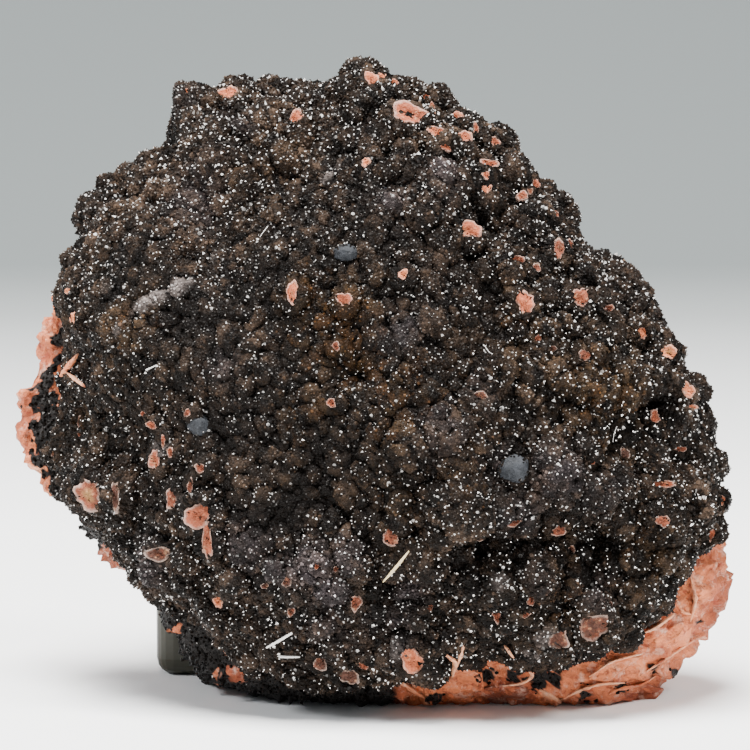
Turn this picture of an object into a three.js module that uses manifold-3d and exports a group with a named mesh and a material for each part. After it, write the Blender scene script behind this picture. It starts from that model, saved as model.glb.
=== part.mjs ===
// Quartz on barite: a thin dark crust of drusy quartz, grown in knobs and short fingers over a salmon
// barite matrix, leaning on a small grey block. Millimetres, +Z up. The crusted face looks along -Y.
// The origin is on the surface the specimen stands on, under the middle of its box.
import * as THREE from "three";
import { mergeVertices } from "three/addons/utils/BufferGeometryUtils.js";
import { RoundedBoxGeometry } from "three/addons/geometries/RoundedBoxGeometry.js";
import Module from "manifold-3d";

// How the outlines were taken: as seen from this far away and this far above the horizon.
const VIEW_DISTANCE = 450;
const VIEW_ELEVATION = THREE.MathUtils.degToRad(7);
const VIEW_HEIGHT = 32.7;

// The middle that every outline and every ring goes round, and the two ends of the specimen's depth.
const MIDDLE = { x: 0, z: 27 };
const FRONT_Y = -17;
const BACK_Y = 15;

// The rim of the crust and the widest line of the matrix behind it: [x, z as seen, depth y].
const CRUST_RIM = [
  [33.9, 20.6, 2], [32.7, 28.3, 2], [30.4, 32.8, 2], [27.8, 36.7, 2], [25.2, 40.2, 3],
  [21.8, 43.6, 4], [18.2, 48.5, 5], [13.2, 54.2, 6], [8.5, 58.9, 7], [4.0, 61.2, 8],
  [-0.7, 63.0, 10], [-6.0, 60.8, 11], [-12.5, 61.1, 12], [-18.8, 60.2, 13], [-20.2, 56.0, 12],
  [-24.0, 52.0, 12], [-27.4, 50.6, 12], [-28.9, 46.2, 11], [-31.0, 42.2, 10], [-30.4, 36.6, 9],
  [-30.5, 31.0, 8], [-31.3, 25.8, 7], [-31.0, 21.9, 6], [-27.0, 18.6, 2], [-22.5, 13.1, -2],
  [-17.5, 9.1, -5], [-12.5, 5.1, -7], [-4.5, 2.6, -9], [3.5, 4.2, -10], [10.5, 5.4, -10],
  [18.5, 5.2, -9], [26.0, 8.6, -6], [30.6, 13.2, -3], [33.2, 17.0, 0],
];
const MATRIX_RIM = [
  [33.0, 21.5, 5], [32.2, 28.2, 5], [30.2, 32.8, 5], [25.0, 37.6, 6], [16.4, 47.6, 8],
  [8.0, 57.0, 10], [0.0, 60.6, 13], [-12.0, 58.8, 15], [-20.0, 54.0, 15], [-28.0, 47.0, 14],
  [-32.0, 38.8, 11], [-34.0, 33.2, 9], [-35.5, 28.4, 8], [-34.6, 24.4, 7], [-32.8, 21.6, 7],
  [-29.4, 20.0, 7], [-27.2, 15.4, 7], [-23.0, 12.4, 7], [-20.8, 8.6, 7], [-16.6, 2.4, 6],
  [-9.0, 0.7, 1], [3.0, 0.2, -1], [12.5, 0.2, -2], [26.5, 0.2, -1], [30.9, 4.6, 0],
  [34.2, 8.8, 1], [35.3, 11.4, 2], [34.3, 16.0, 3],
];

const CRUST_THICKNESS = 3;
const TOUCH_GAP = 0.35;

// The middle height of the knobs, which is where the outlines run, and how far below them a hollow goes.
const KNOB_MEAN = 0.8;
const DEEPEST = 2.2;

// The knobs: how far apart they stand, how wide and how tall they are where the crust is coarse.
const KNOB_COUNT = 430;
const KNOB_RADIUS = 2.3;
const KNOB_HEIGHT = 1.9;
const FINE_SHARE = 0.38;

// The patch where the crust is fine-grained and nearly smooth: its middle as seen, and its half sizes.
const FINE_PATCH = { x: -10, z: 36, halfX: 23, halfZ: 17 };

// Hollows and swells of the crusted face, as seen: [x, z, radius, height], negative for a hollow.
const RELIEF = [
  [11.2, 47.6, 3.2, -2.2], [-2.0, 33.0, 2.6, -1.6], [11.5, 15.9, 2.6, -2.4], [17.0, 15.6, 2.8, -2.2],
  [20.6, 15.5, 2.6, -1.8], [26.5, 29.6, 2.0, -2.4], [25.6, 34.8, 2.6, -1.6], [23.4, 24.8, 3.0, -1.8],
  [30.8, 24.6, 2.6, -1.8], [23.2, 16.8, 2.6, -1.8], [-24.5, 24.5, 5.0, -1.6], [-16.5, 47.5, 6.0, -2.2],
  [-8.0, 53.0, 5.0, -1.6], [-30.0, 26.5, 3.4, -1.6], [2.0, 10.5, 3.6, -1.6], [-11.0, 20.0, 5.0, 1.0],
  [4.5, 26.5, 6.5, 1.6], [18.5, 23.2, 2.8, 1.4], [27.6, 32.0, 2.6, 2.2], [23.6, 31.8, 2.4, 1.8],
  [21.0, 38.0, 5.0, 1.4], [6.5, 52.5, 6.0, 1.6], [-26.0, 38.0, 6.0, 1.0], [-14.5, 56.5, 5.0, 1.6],
  [-22.5, 46.5, 4.5, 1.6], [9.0, 18.7, 3.6, 1.8], [22.5, 21.7, 2.8, 1.4], [29.0, 18.4, 2.4, 1.4],
  [31.4, 21.6, 2.6, 1.2], [16.4, 12.7, 2.4, 1.8], [12.0, 11.2, 2.2, 1.4], [15.0, 8.8, 2.4, 1.2],
  [22.3, 7.6, 2.4, 1.6], [16.6, 6.4, 2.8, 1.4], [26.2, 10.6, 2.8, 1.2], [5.0, 6.5, 3.6, 1.2],
  [-7.0, 12.5, 4.5, 1.2], [24.0, 40.8, 2.2, 1.4], [26.6, 38.6, 1.8, 1.6], [28.8, 35.8, 2.0, 1.2],
  [-26.6, 50.6, 2.0, 0.9], [-18.2, 59.4, 1.8, 1.4], [-22.8, 52.2, 1.8, 1.2], [-1.0, 62.0, 2.6, 1.0],
  [13.0, 53.4, 2.4, 1.0],
];

// Knobs whose tips are broken off flat and show the salmon core: [x, z as seen, half width].
const BROKEN_TIPS = [
  [3.4, 59.2, 1.5], [6.2, 57.5, 0.8], [8.9, 57.0, 0.8], [11.4, 54.4, 0.8], [9.5, 47.7, 1.1],
  [15.0, 51.1, 0.8], [14.3, 44.5, 0.9], [18.3, 45.7, 0.9], [15.0, 40.4, 1.2], [20.5, 40.8, 1.2],
  [26.7, 37.4, 0.8], [20.9, 35.0, 0.7], [29.4, 35.3, 0.9], [28.6, 28.8, 0.8], [29.0, 22.2, 1.1],
  [29.0, 18.4, 0.8], [18.4, 17.5, 0.8], [13.7, 18.4, 0.8], [12.2, 9.1, 0.8], [15.0, 9.2, 0.6],
  [15.6, 10.3, 0.6], [22.3, 7.5, 1.4], [18.4, 6.5, 1.2], [1.7, 16.8, 1.0], [-1.8, 10.4, 0.7],
  [-17.4, 18.4, 1.5], [-20.4, 20.6, 0.9], [-22.3, 24.0, 0.7], [-22.3, 28.2, 0.6], [-28.8, 21.0, 1.7],
  [-26.0, 21.0, 0.9], [-14.7, 61.3, 1.0], [-7.8, 59.1, 1.0], [-8.2, 41.4, 0.9], [-3.0, 40.7, 0.8],
  [-4.3, 30.3, 0.6], [-5.5, 4.2, 0.9], [-17.5, 23.9, 0.7],
];
const TIP_STAND = 1.7;

// The smooth grey nodules set in the crust: name, x and z as seen, half width and half height.
const NODULES = [
  ["grey_nodule_left", -17.6, 27.6, 1.25, 1.2],
  ["grey_nodule_right", 13.6, 23.5, 1.5, 1.4],
  ["grey_nodule_middle", -2.8, 45.0, 1.4, 0.9],
  ["grey_nodule_upper", 1.0, 50.7, 0.85, 0.8],
];
const NODULE_SINK = 0.35;
const NODULE_SIDES = 10;

// The prop behind the lower half of the specimen.
const BLOCK = { left: -22.6, width: 30, front: 10.6, depth: 18, height: 15, radius: 1.8 };

// Rings of the mesh: outer crust, hidden sheets, and the matrix from its ledge to its back.
const CRUST_RINGS = 33;
const POINTS_PER_RING = 6;
const HIDDEN_RINGS = [[0.84, 60], [0.6, 36], [0.34, 18]];
const BACK_RINGS = [[0.14, 90], [0.3, 80], [0.46, 70], [0.62, 54], [0.78, 34], [0.92, 16]];
const LEDGE_POINTS = 100;

// The lip of the matrix's ledge, as shares of the way out and back from the crust's rim to the widest
// line, and the furrows between its blades.
const LIP_OUT = 0.62;
const LIP_BACK = 0.3;
const FURROW_DEPTH = 1.0;
const BLADES = 37;

const wasm = await Module();
wasm.setup();

// A repeatable number from 0 to 1 for the nth piece and the kth of its properties.
function chance(n, k) {
  const s = Math.sin(n * 78.233 + k * 37.719) * 43758.5453;
  return s - Math.floor(s);
}

// The real x and z of a point that is seen at (x, z) and lies at depth y.
function fromView(x, z, y) {
  const v = z - VIEW_HEIGHT;
  const sin = Math.sin(VIEW_ELEVATION);
  const cos = Math.cos(VIEW_ELEVATION);
  const up = (v * (VIEW_DISTANCE + y * cos) - VIEW_DISTANCE * y * sin) / (VIEW_DISTANCE * cos + v * sin);
  const away = y * cos - up * sin;
  return { x: (x * (VIEW_DISTANCE + away)) / VIEW_DISTANCE, z: up + VIEW_HEIGHT };
}

// An outline as a closed function of the angle round the middle, giving its radius and its depth.
function makeLoop(outline) {
  const knots = outline.map(([x, z, y]) => {
    const p = fromView(x, z, y);
    const dx = p.x - MIDDLE.x;
    const dz = p.z - MIDDLE.z;
    return { angle: Math.atan2(dz, dx), radius: Math.hypot(dx, dz), y };
  });
  knots.sort((a, b) => a.angle - b.angle);
  const count = knots.length;
  return (angle) => {
    const turn = 2 * Math.PI;
    let a = Math.atan2(Math.sin(angle), Math.cos(angle));
    if (a < knots[0].angle) a += turn;
    let i = count - 1;
    while (i > 0 && knots[i].angle > a) i -= 1;
    const from = knots[i];
    const to = knots[(i + 1) % count];
    const span = (to.angle - from.angle + turn) % turn;
    const share = (a - from.angle) / span;
    return {
      radius: from.radius + (to.radius - from.radius) * share,
      y: from.y + (to.y - from.y) * share,
    };
  };
}

const crustLoop = makeLoop(CRUST_RIM);
const matrixLoop = makeLoop(MATRIX_RIM);

// A point of the smooth dome, share 0 at its front and 1 at the crust's rim, sunk by depth below it.
function domePoint(angle, share, depth = 0) {
  const { radius, y } = crustLoop(angle);
  const tilt = (share * Math.PI) / 2;
  const reach = (radius - depth) * Math.sin(tilt);
  return new THREE.Vector3(
    MIDDLE.x + reach * Math.cos(angle),
    y - (y - FRONT_Y - depth) * Math.cos(tilt),
    MIDDLE.z + reach * Math.sin(angle),
  );
}

// The outward direction of the smooth dome there.
function domeNormal(angle, share) {
  const { radius, y } = crustLoop(angle);
  const tilt = (share * Math.PI) / 2;
  const out = Math.sin(tilt) / radius;
  const forward = Math.cos(tilt) / (y - FRONT_Y);
  return new THREE.Vector3(out * Math.cos(angle), -forward, out * Math.sin(angle)).normalize();
}

// The same for a point that lies on the dome.
function domeNormalAt(point) {
  const dx = point.x - MIDDLE.x;
  const dz = point.z - MIDDLE.z;
  const angle = Math.atan2(dz, dx);
  const share = (Math.asin(Math.min(1, Math.hypot(dx, dz) / crustLoop(angle).radius)) * 2) / Math.PI;
  return domeNormal(angle, share);
}

// The point of the dome that is seen at (x, z).
function domeSeenAt(x, z) {
  let point = new THREE.Vector3(x, FRONT_Y / 2, z);
  for (let i = 0; i < 12; i += 1) {
    const real = fromView(x, z, point.y);
    const angle = Math.atan2(real.z - MIDDLE.z, real.x - MIDDLE.x);
    const reach = Math.hypot(real.z - MIDDLE.z, real.x - MIDDLE.x);
    const share = (Math.asin(Math.min(1, reach / crustLoop(angle).radius)) * 2) / Math.PI;
    point = domePoint(angle, share);
  }
  return point;
}

// 1 in the fine-grained patch and 0 where the crust is coarse.
function fineness(point) {
  const dx = (point.x - FINE_PATCH.x) / FINE_PATCH.halfX;
  const dz = (point.z - FINE_PATCH.z) / FINE_PATCH.halfZ;
  return 1 - THREE.MathUtils.smoothstep(Math.hypot(dx, dz), 0.65, 1.15);
}

// The point of the crust's mesh nearest to a place on the dome, so that each knob has a peak.
function gridPoint(angle, share) {
  const k = Math.max(1, Math.round(share * CRUST_RINGS));
  const step = (2 * Math.PI) / (POINTS_PER_RING * k);
  return domePoint(Math.round(angle / step) * step, k / CRUST_RINGS);
}

// The knobs, spread over the dome on a jittered spiral.
function makeKnobs() {
  const golden = Math.PI * (3 - Math.sqrt(5));
  const knobs = [];
  for (let i = 0; i < KNOB_COUNT; i += 1) {
    const cover = (i + 0.2 + 0.9 * chance(i, 1)) / KNOB_COUNT;
    const angle = i * golden + (chance(i, 2) - 0.5) * 0.9 / Math.sqrt(i + 1);
    const share = Math.min(0.985, (Math.acos(1 - cover) * 2) / Math.PI);
    const centre = gridPoint(angle, share);
    const size = 1 - FINE_SHARE * fineness(centre);
    knobs.push({
      centre,
      radius: KNOB_RADIUS * size * (0.7 + 0.55 * chance(i, 3)),
      height: KNOB_HEIGHT * size * size * (0.45 + 0.85 * chance(i, 4)),
    });
  }
  return knobs;
}

const knobs = makeKnobs();
const tips = BROKEN_TIPS.map(([x, z, half]) => ({ centre: domeSeenAt(x, z), half }));
const relief = RELIEF.map(([x, z, radius, height]) => ({ centre: domeSeenAt(x, z), radius, height }));

// How far the crust stands out from the smooth dome at a point of it.
function crustStand(point) {
  let base = 0;
  for (const { centre, radius, height } of relief) {
    const u = point.distanceTo(centre) / radius;
    base += height * Math.exp(-u * u);
  }
  let knob = 0;
  for (const { centre, radius, height } of knobs) {
    const u = point.distanceTo(centre) / radius;
    if (u < 1) knob = Math.max(knob, height * (1 - u * u) ** 1.3);
  }
  for (const { centre, half } of tips) {
    const d = point.distanceTo(centre);
    const flat = 1 - THREE.MathUtils.smoothstep(d, half + 0.5, half + 1.9);
    knob = Math.max(knob, knob * (1 - flat) + TIP_STAND * flat);
  }
  return Math.max(-DEEPEST, base + knob - KNOB_MEAN);
}

// Collects rings of points and zips each to the next, so that rings of different counts can join. Where
// two steps tie, the fuller ring goes first, so that a sheet zipped from either side has the same faces.
class Skin {
  constructor() {
    this.points = [];
    this.faces = [];
  }

  ring(count, pointAt) {
    const ids = [];
    for (let i = 0; i < count; i += 1) {
      const angle = (2 * Math.PI * i) / count;
      ids.push(this.points.push(pointAt(angle)) - 1);
    }
    return ids;
  }

  zip(inner, outer) {
    let i = 0;
    let o = 0;
    const at = (ids, n) => ids[n % ids.length];
    while (i < inner.length || o < outer.length) {
      const lead = (i + 1) * outer.length - (o + 1) * inner.length;
      const outerFirst = lead > 0 || (lead === 0 && outer.length >= inner.length);
      if (o < outer.length && (i >= inner.length || outerFirst)) {
        this.faces.push(at(inner, i), at(outer, o), at(outer, o + 1));
        o += 1;
      } else {
        this.faces.push(at(inner, i), at(outer, o), at(inner, i + 1));
        i += 1;
      }
    }
  }

  cap(ring, point, facingFront) {
    const tip = this.points.push(point) - 1;
    ring.forEach((id, n) => {
      const next = ring[(n + 1) % ring.length];
      this.faces.push(...(facingFront ? [tip, id, next] : [tip, next, id]));
    });
  }

  geometry() {
    const made = new THREE.BufferGeometry().setFromPoints(this.points);
    made.setIndex(this.faces);
    return made;
  }
}

// A closed geometry as a manifold-3d solid, and such a solid as a geometry.
function toSolid(geometry) {
  const bare = geometry.clone();
  for (const name of ["normal", "uv"]) bare.deleteAttribute(name);
  const merged = mergeVertices(bare, 1e-4);
  const mesh = new wasm.Mesh({
    numProp: 3,
    vertProperties: merged.attributes.position.array,
    triVerts: new Uint32Array(merged.index.array),
  });
  return new wasm.Manifold(mesh);
}

function toGeometry(solid) {
  const mesh = solid.getMesh();
  const made = new THREE.BufferGeometry();
  made.setAttribute("position", new THREE.BufferAttribute(mesh.vertProperties, mesh.numProp));
  made.setIndex(new THREE.BufferAttribute(mesh.triVerts, 1));
  return made;
}

// A box from its six faces, and all that lies below the ground.
function box(minX, maxX, minY, maxY, minZ, maxZ) {
  const made = new THREE.BoxGeometry(maxX - minX, maxY - minY, maxZ - minZ);
  return made.translate((minX + maxX) / 2, (minY + maxY) / 2, (minZ + maxZ) / 2);
}

const underground = toSolid(box(-80, 80, -80, 80, -40, 0));

// A nodule half sunk in the crust, grown by a margin where its pocket is wanted.
function noduleBall([, x, z, halfWidth, halfHeight], margin) {
  const made = new THREE.SphereGeometry(1, NODULE_SIDES, NODULE_SIDES / 2 + 1);
  made.rotateX(Math.PI / 2);
  made.scale(halfWidth + margin, halfWidth + margin, halfHeight + margin);
  const seat = domeSeenAt(x, z);
  const lift = crustStand(seat) + NODULE_SINK * halfHeight;
  seat.addScaledVector(domeNormalAt(seat), lift);
  return made.translate(seat.x, seat.y, seat.z);
}

// The crust: knobbed outside, a thin flat rim, and a smooth inside that sits on the matrix.
function makeCrust() {
  const skin = new Skin();
  const outside = (angle, share) => {
    const point = domePoint(angle, share);
    return point.clone().addScaledVector(domeNormal(angle, share), crustStand(point));
  };
  let ring = skin.ring(POINTS_PER_RING, (angle) => outside(angle, 1 / CRUST_RINGS));
  skin.cap(ring, outside(0, 0), true);
  for (let k = 2; k <= CRUST_RINGS; k += 1) {
    const next = skin.ring(POINTS_PER_RING * k, (angle) => outside(angle, k / CRUST_RINGS));
    skin.zip(ring, next);
    ring = next;
  }
  const inside = skin.ring(LEDGE_POINTS, (angle) => domePoint(angle, 1, CRUST_THICKNESS));
  skin.zip(ring, inside);
  ring = inside;
  for (const [share, count] of HIDDEN_RINGS) {
    const next = skin.ring(count, (angle) => domePoint(angle, share, CRUST_THICKNESS));
    skin.zip(ring, next);
    ring = next;
  }
  skin.cap(ring, domePoint(0, 0, CRUST_THICKNESS), false);
  let crust = toSolid(skin.geometry()).subtract(underground);
  for (const nodule of NODULES) crust = crust.subtract(toSolid(noduleBall(nodule, TOUCH_GAP)));
  return toGeometry(crust);
}

// The rough back of the matrix: lumps and broken steps.
function rockRelief(point) {
  const { x, y, z } = point;
  const lump = Math.sin(x * 0.31 + z * 0.17) * Math.cos(z * 0.29 - x * 0.11) * Math.cos(y * 0.3);
  const upright = Math.abs(Math.sin(x * 0.83 + 1.3 * Math.sin(z * 0.41)));
  const level = Math.abs(Math.sin(z * 0.97 + y * 0.6));
  return 0.9 * lump + 0.8 * (upright + level - 1.2);
}

// The matrix: a hidden dome under the crust, a ledge round the crust's rim, and a rough broken back.
function makeMatrix() {
  const skin = new Skin();
  const sunk = CRUST_THICKNESS + TOUCH_GAP;
  const inner = [...HIDDEN_RINGS].reverse();
  let ring = skin.ring(inner[0][1], (angle) => domePoint(angle, inner[0][0], sunk));
  skin.cap(ring, domePoint(0, 0, sunk), true);
  const join = (count, pointAt) => {
    const next = skin.ring(count, pointAt);
    skin.zip(ring, next);
    ring = next;
  };
  for (const [share, count] of inner.slice(1)) {
    join(count, (angle) => domePoint(angle, share, sunk));
  }
  join(LEDGE_POINTS, (angle) => domePoint(angle, 1, sunk).add(new THREE.Vector3(0, TOUCH_GAP, 0)));
  join(LEDGE_POINTS, (angle) => {
    const point = domePoint(angle, 1, 0.5);
    return point.add(new THREE.Vector3(0, TOUCH_GAP + 0.1, 0));
  });
  const wide = (angle, share) => {
    const { radius, y } = matrixLoop(angle);
    const tilt = (share * Math.PI) / 2;
    const reach = radius * Math.cos(tilt) ** 0.7;
    const point = new THREE.Vector3(
      MIDDLE.x + reach * Math.cos(angle),
      y + (BACK_Y - y) * Math.sin(tilt) ** 0.9,
      MIDDLE.z + reach * Math.sin(angle),
    );
    const out = new THREE.Vector3(Math.cos(angle), Math.tan(tilt), Math.sin(angle)).normalize();
    return point.addScaledVector(out, rockRelief(point) * Math.min(1, 0.35 + share));
  };
  join(LEDGE_POINTS, (angle) => {
    const rim = domePoint(angle, 1);
    const lip = rim.clone().lerp(wide(angle, 0), LIP_OUT);
    const furrow = FURROW_DEPTH * (0.5 + 0.5 * Math.sin(angle * BLADES));
    lip.y = Math.max(rim.y + TOUCH_GAP, rim.y + (wide(angle, 0).y - rim.y) * LIP_BACK) + furrow;
    return lip;
  });
  join(LEDGE_POINTS, (angle) => wide(angle, 0));
  for (const [share, count] of BACK_RINGS) join(count, (angle) => wide(angle, share));
  skin.cap(ring, wide(0, 1), false);
  return toSolid(skin.geometry()).subtract(underground);
}

// The block, with rounded edges and a flat underside.
function makeBlock() {
  const { left, width, front, depth, height, radius } = BLOCK;
  const made = new RoundedBoxGeometry(width, depth, height, 2, radius);
  return made.translate(left + width / 2, front + depth / 2, height / 2);
}

// A plain material, and a named mesh made of it.
function material(hex, roughness) {
  return new THREE.MeshStandardMaterial({ color: hex, roughness, metalness: 0 });
}

function piece(name, geometry, look) {
  const mesh = new THREE.Mesh(geometry, look);
  mesh.name = name;
  return mesh;
}

// The room that the block takes, with the gap round it.
function makeBlockRoom() {
  const { left, width, front, depth, height } = BLOCK;
  const right = left + width + TOUCH_GAP;
  const back = front + depth + TOUCH_GAP;
  return toSolid(box(left - TOUCH_GAP, right, front - TOUCH_GAP, back, -1, height + TOUCH_GAP));
}

const specimen = new THREE.Group();
const matrix = toGeometry(makeMatrix().subtract(makeBlockRoom()));
specimen.add(piece("quartz_crust", makeCrust(), material(0x2b2522, 0.3)));
specimen.add(piece("barite_matrix", matrix, material(0xc97a5a, 0.75)));
specimen.add(piece("support_block", makeBlock(), material(0x5c5b4c, 0.5)));
for (const nodule of NODULES) {
  specimen.add(piece(nodule[0], noduleBall(nodule, 0), material(0x5a5f68, 0.45)));
}

// The origin goes under the middle of the whole box, on the surface that it stands on.
const whole = new THREE.Box3().setFromObject(specimen);
const middle = whole.getCenter(new THREE.Vector3());
specimen.position.set(-middle.x, -middle.y, -whole.min.z);

export default specimen;
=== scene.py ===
"""Quartz on barite: the sparkling druse, its broken tips, the barite and the block, over the frame."""
import itertools
import math

import bpy
import numpy as np
from mathutils import Matrix, Vector, noise


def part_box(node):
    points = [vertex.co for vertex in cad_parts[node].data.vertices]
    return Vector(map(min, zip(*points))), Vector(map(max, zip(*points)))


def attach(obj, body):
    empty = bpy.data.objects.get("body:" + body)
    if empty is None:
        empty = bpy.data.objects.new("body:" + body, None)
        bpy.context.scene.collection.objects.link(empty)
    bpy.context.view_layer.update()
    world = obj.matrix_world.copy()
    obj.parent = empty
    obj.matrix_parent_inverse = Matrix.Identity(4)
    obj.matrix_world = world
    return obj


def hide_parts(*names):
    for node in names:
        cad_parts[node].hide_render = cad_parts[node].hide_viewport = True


bl_info = {
    "name": "Quartz on Barite",
    "version": (1, 0, 0),
    "blender": (4, 5, 0),
    "location": "View3D > Sidebar > Specimen",
    "description": "Builds a druse-covered barite specimen over its packed solids",
    "category": "Object",
}

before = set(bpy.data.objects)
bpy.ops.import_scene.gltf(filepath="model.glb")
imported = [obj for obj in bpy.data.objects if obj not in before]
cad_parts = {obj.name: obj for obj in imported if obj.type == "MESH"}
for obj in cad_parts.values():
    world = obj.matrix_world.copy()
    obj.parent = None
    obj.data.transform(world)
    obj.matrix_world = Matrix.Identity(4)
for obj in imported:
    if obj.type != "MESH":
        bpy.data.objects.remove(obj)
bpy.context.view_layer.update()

# Sizes are in millimetres up to the last step, which turns them into metres.
MM = 0.001

# The view that the outlines were taken in: its distance, its tilt and the height that it looks at.
VIEW_DISTANCE = 450.0
VIEW_ELEVATION = math.radians(7)
VIEW_HEIGHT = 32.7
VIEW_WIDTH = 75.0
IMAGE_SIZE = 750
PIXELS_PER_MM = IMAGE_SIZE / VIEW_WIDTH

# The solids' own middle, and where the block's near left lower corner lies from it.
MIDDLE_X, MIDDLE_Z = 0.0, 27.0
BLOCK_LEFT, BLOCK_FRONT = -22.6, 10.6
FRONT_Y, BACK_Y = -17.0, 15.0
CRUST_THICKNESS = 3.0
TOUCH_GAP = 0.35
KNOB_MEAN = 1.0
DEEPEST = 2.3

block_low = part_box("support_block")[0]
ORIGIN = np.array([block_low[0] / MM - BLOCK_LEFT, block_low[1] / MM - BLOCK_FRONT, 0.0])

# The rims of the crust and of the barite: x, z as seen, depth y.
CRUST_RIM = [
    (33.9, 20.6, 2), (32.7, 28.3, 2), (30.4, 32.8, 2), (27.8, 36.7, 2), (25.2, 40.2, 3), (21.8, 43.6, 4),
    (18.2, 48.5, 5), (13.2, 54.2, 6), (8.5, 58.9, 7), (4.0, 61.2, 8), (-0.7, 63.0, 10), (-6.0, 60.8, 11),
    (-12.5, 61.1, 12), (-18.8, 60.2, 13), (-20.2, 56.0, 12), (-24.0, 52.0, 12), (-27.4, 50.6, 12),
    (-28.9, 46.2, 11), (-31.0, 42.2, 10), (-30.4, 36.6, 9), (-30.5, 31.0, 8), (-31.3, 25.8, 7),
    (-31.0, 21.9, 6), (-27.0, 18.6, 2), (-22.5, 13.1, -2), (-17.5, 9.1, -5), (-12.5, 5.1, -7),
    (-4.5, 2.6, -9), (3.5, 4.2, -10), (10.5, 5.4, -10), (18.5, 5.2, -9), (26.0, 8.6, -6),
    (30.6, 13.2, -3), (33.2, 17.0, 0),
]
MATRIX_RIM = [
    (33.0, 21.5, 5), (32.2, 28.2, 5), (30.2, 32.8, 5), (25.0, 37.6, 6), (16.4, 47.6, 8), (8.0, 57.0, 10),
    (0.0, 60.6, 13), (-12.0, 58.8, 15), (-20.0, 54.0, 15), (-28.0, 47.0, 14), (-32.0, 38.8, 11),
    (-34.0, 33.2, 9), (-35.5, 28.4, 8), (-34.6, 24.4, 7), (-32.8, 21.6, 7), (-29.4, 20.0, 7),
    (-27.2, 15.4, 7), (-23.0, 12.4, 7), (-20.8, 8.6, 7), (-16.6, 2.4, 6), (-9.0, 0.7, 1), (3.0, 0.2, -1),
    (12.5, 0.2, -2), (26.5, 0.2, -1), (30.9, 4.6, 0), (34.2, 8.8, 1), (35.3, 11.4, 2), (34.3, 16.0, 3),
]

# Hollows and swells of the crusted face: x, z as seen, radius, height.
RELIEF = [
    (11.2, 47.6, 3.2, -2.2), (-2.0, 33.0, 2.6, -1.6), (11.5, 15.9, 2.6, -2.4), (17.0, 15.6, 2.8, -2.2),
    (20.6, 15.5, 2.6, -1.8), (26.5, 29.6, 2.0, -2.4), (25.6, 34.8, 2.6, -1.6), (23.4, 24.8, 3.0, -1.8),
    (30.8, 24.6, 2.6, -1.8), (23.2, 16.8, 2.6, -1.8), (-24.5, 24.5, 5.0, -1.6), (-16.5, 47.5, 6.0, -2.2),
    (-8.0, 53.0, 5.0, -1.6), (-30.0, 26.5, 3.4, -1.6), (2.0, 10.5, 3.6, -1.6), (-11.0, 20.0, 5.0, 1.0),
    (4.5, 26.5, 6.5, 1.6), (18.5, 23.2, 2.8, 1.4), (27.6, 32.0, 2.6, 2.2), (23.6, 31.8, 2.4, 1.8),
    (21.0, 38.0, 5.0, 1.4), (6.5, 52.5, 6.0, 1.6), (-26.0, 38.0, 6.0, 1.0), (-14.5, 56.5, 5.0, 1.6),
    (-22.5, 46.5, 4.5, 1.6), (9.0, 18.7, 3.6, 1.8), (22.5, 21.7, 2.8, 1.4), (29.0, 18.4, 2.4, 1.4),
    (31.4, 21.6, 2.6, 1.2), (16.4, 12.7, 2.4, 1.8), (12.0, 11.2, 2.2, 1.4), (15.0, 8.8, 2.4, 1.2),
    (22.3, 7.6, 2.4, 1.6), (16.6, 6.4, 2.8, 1.4), (26.2, 10.6, 2.8, 1.2), (5.0, 6.5, 3.6, 1.2),
    (-7.0, 12.5, 4.5, 1.2), (24.0, 40.8, 2.2, 1.4), (26.6, 38.6, 1.8, 1.6), (28.8, 35.8, 2.0, 1.2),
    (-26.6, 50.6, 2.0, 0.9), (-18.2, 59.4, 1.8, 1.4), (-22.8, 52.2, 1.8, 1.2), (-1.0, 62.0, 2.6, 1.0),
    (13.0, 53.4, 2.4, 1.0),
]

# The knobs that the solids have too, and how the finished crust narrows them.
KNOB_COUNT = 430
KNOB_RADIUS = 2.3
KNOB_HEIGHT = 1.9
FINE_SHARE = 0.38
FINE_PATCH = (-10.0, 36.0, 23.0, 17.0)
SOLID_RINGS = 33

# Small deep pits between the knobs: pixel x, pixel y, radius, depth.
PITS = [
    (363, 378, 1.0, 2.2), (645, 402, 1.6, 2.4), (480, 547, 1.2, 1.6), (455, 562, 1.2, 1.6),
    (600, 542, 1.4, 1.8), (585, 575, 1.3, 1.8), (470, 262, 0.9, 1.0), (560, 420, 1.0, 1.4),
    (422, 152, 0.9, 2.0), (471, 200, 1.0, 2.0), (512, 205, 1.1, 2.0), (447, 158, 0.6, 1.2),
    (150, 203, 0.9, 1.6), (300, 470, 0.7, 0.8), (252, 392, 0.6, 0.7), (430, 480, 0.9, 1.2),
    (350, 520, 0.7, 0.9),
]

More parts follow.
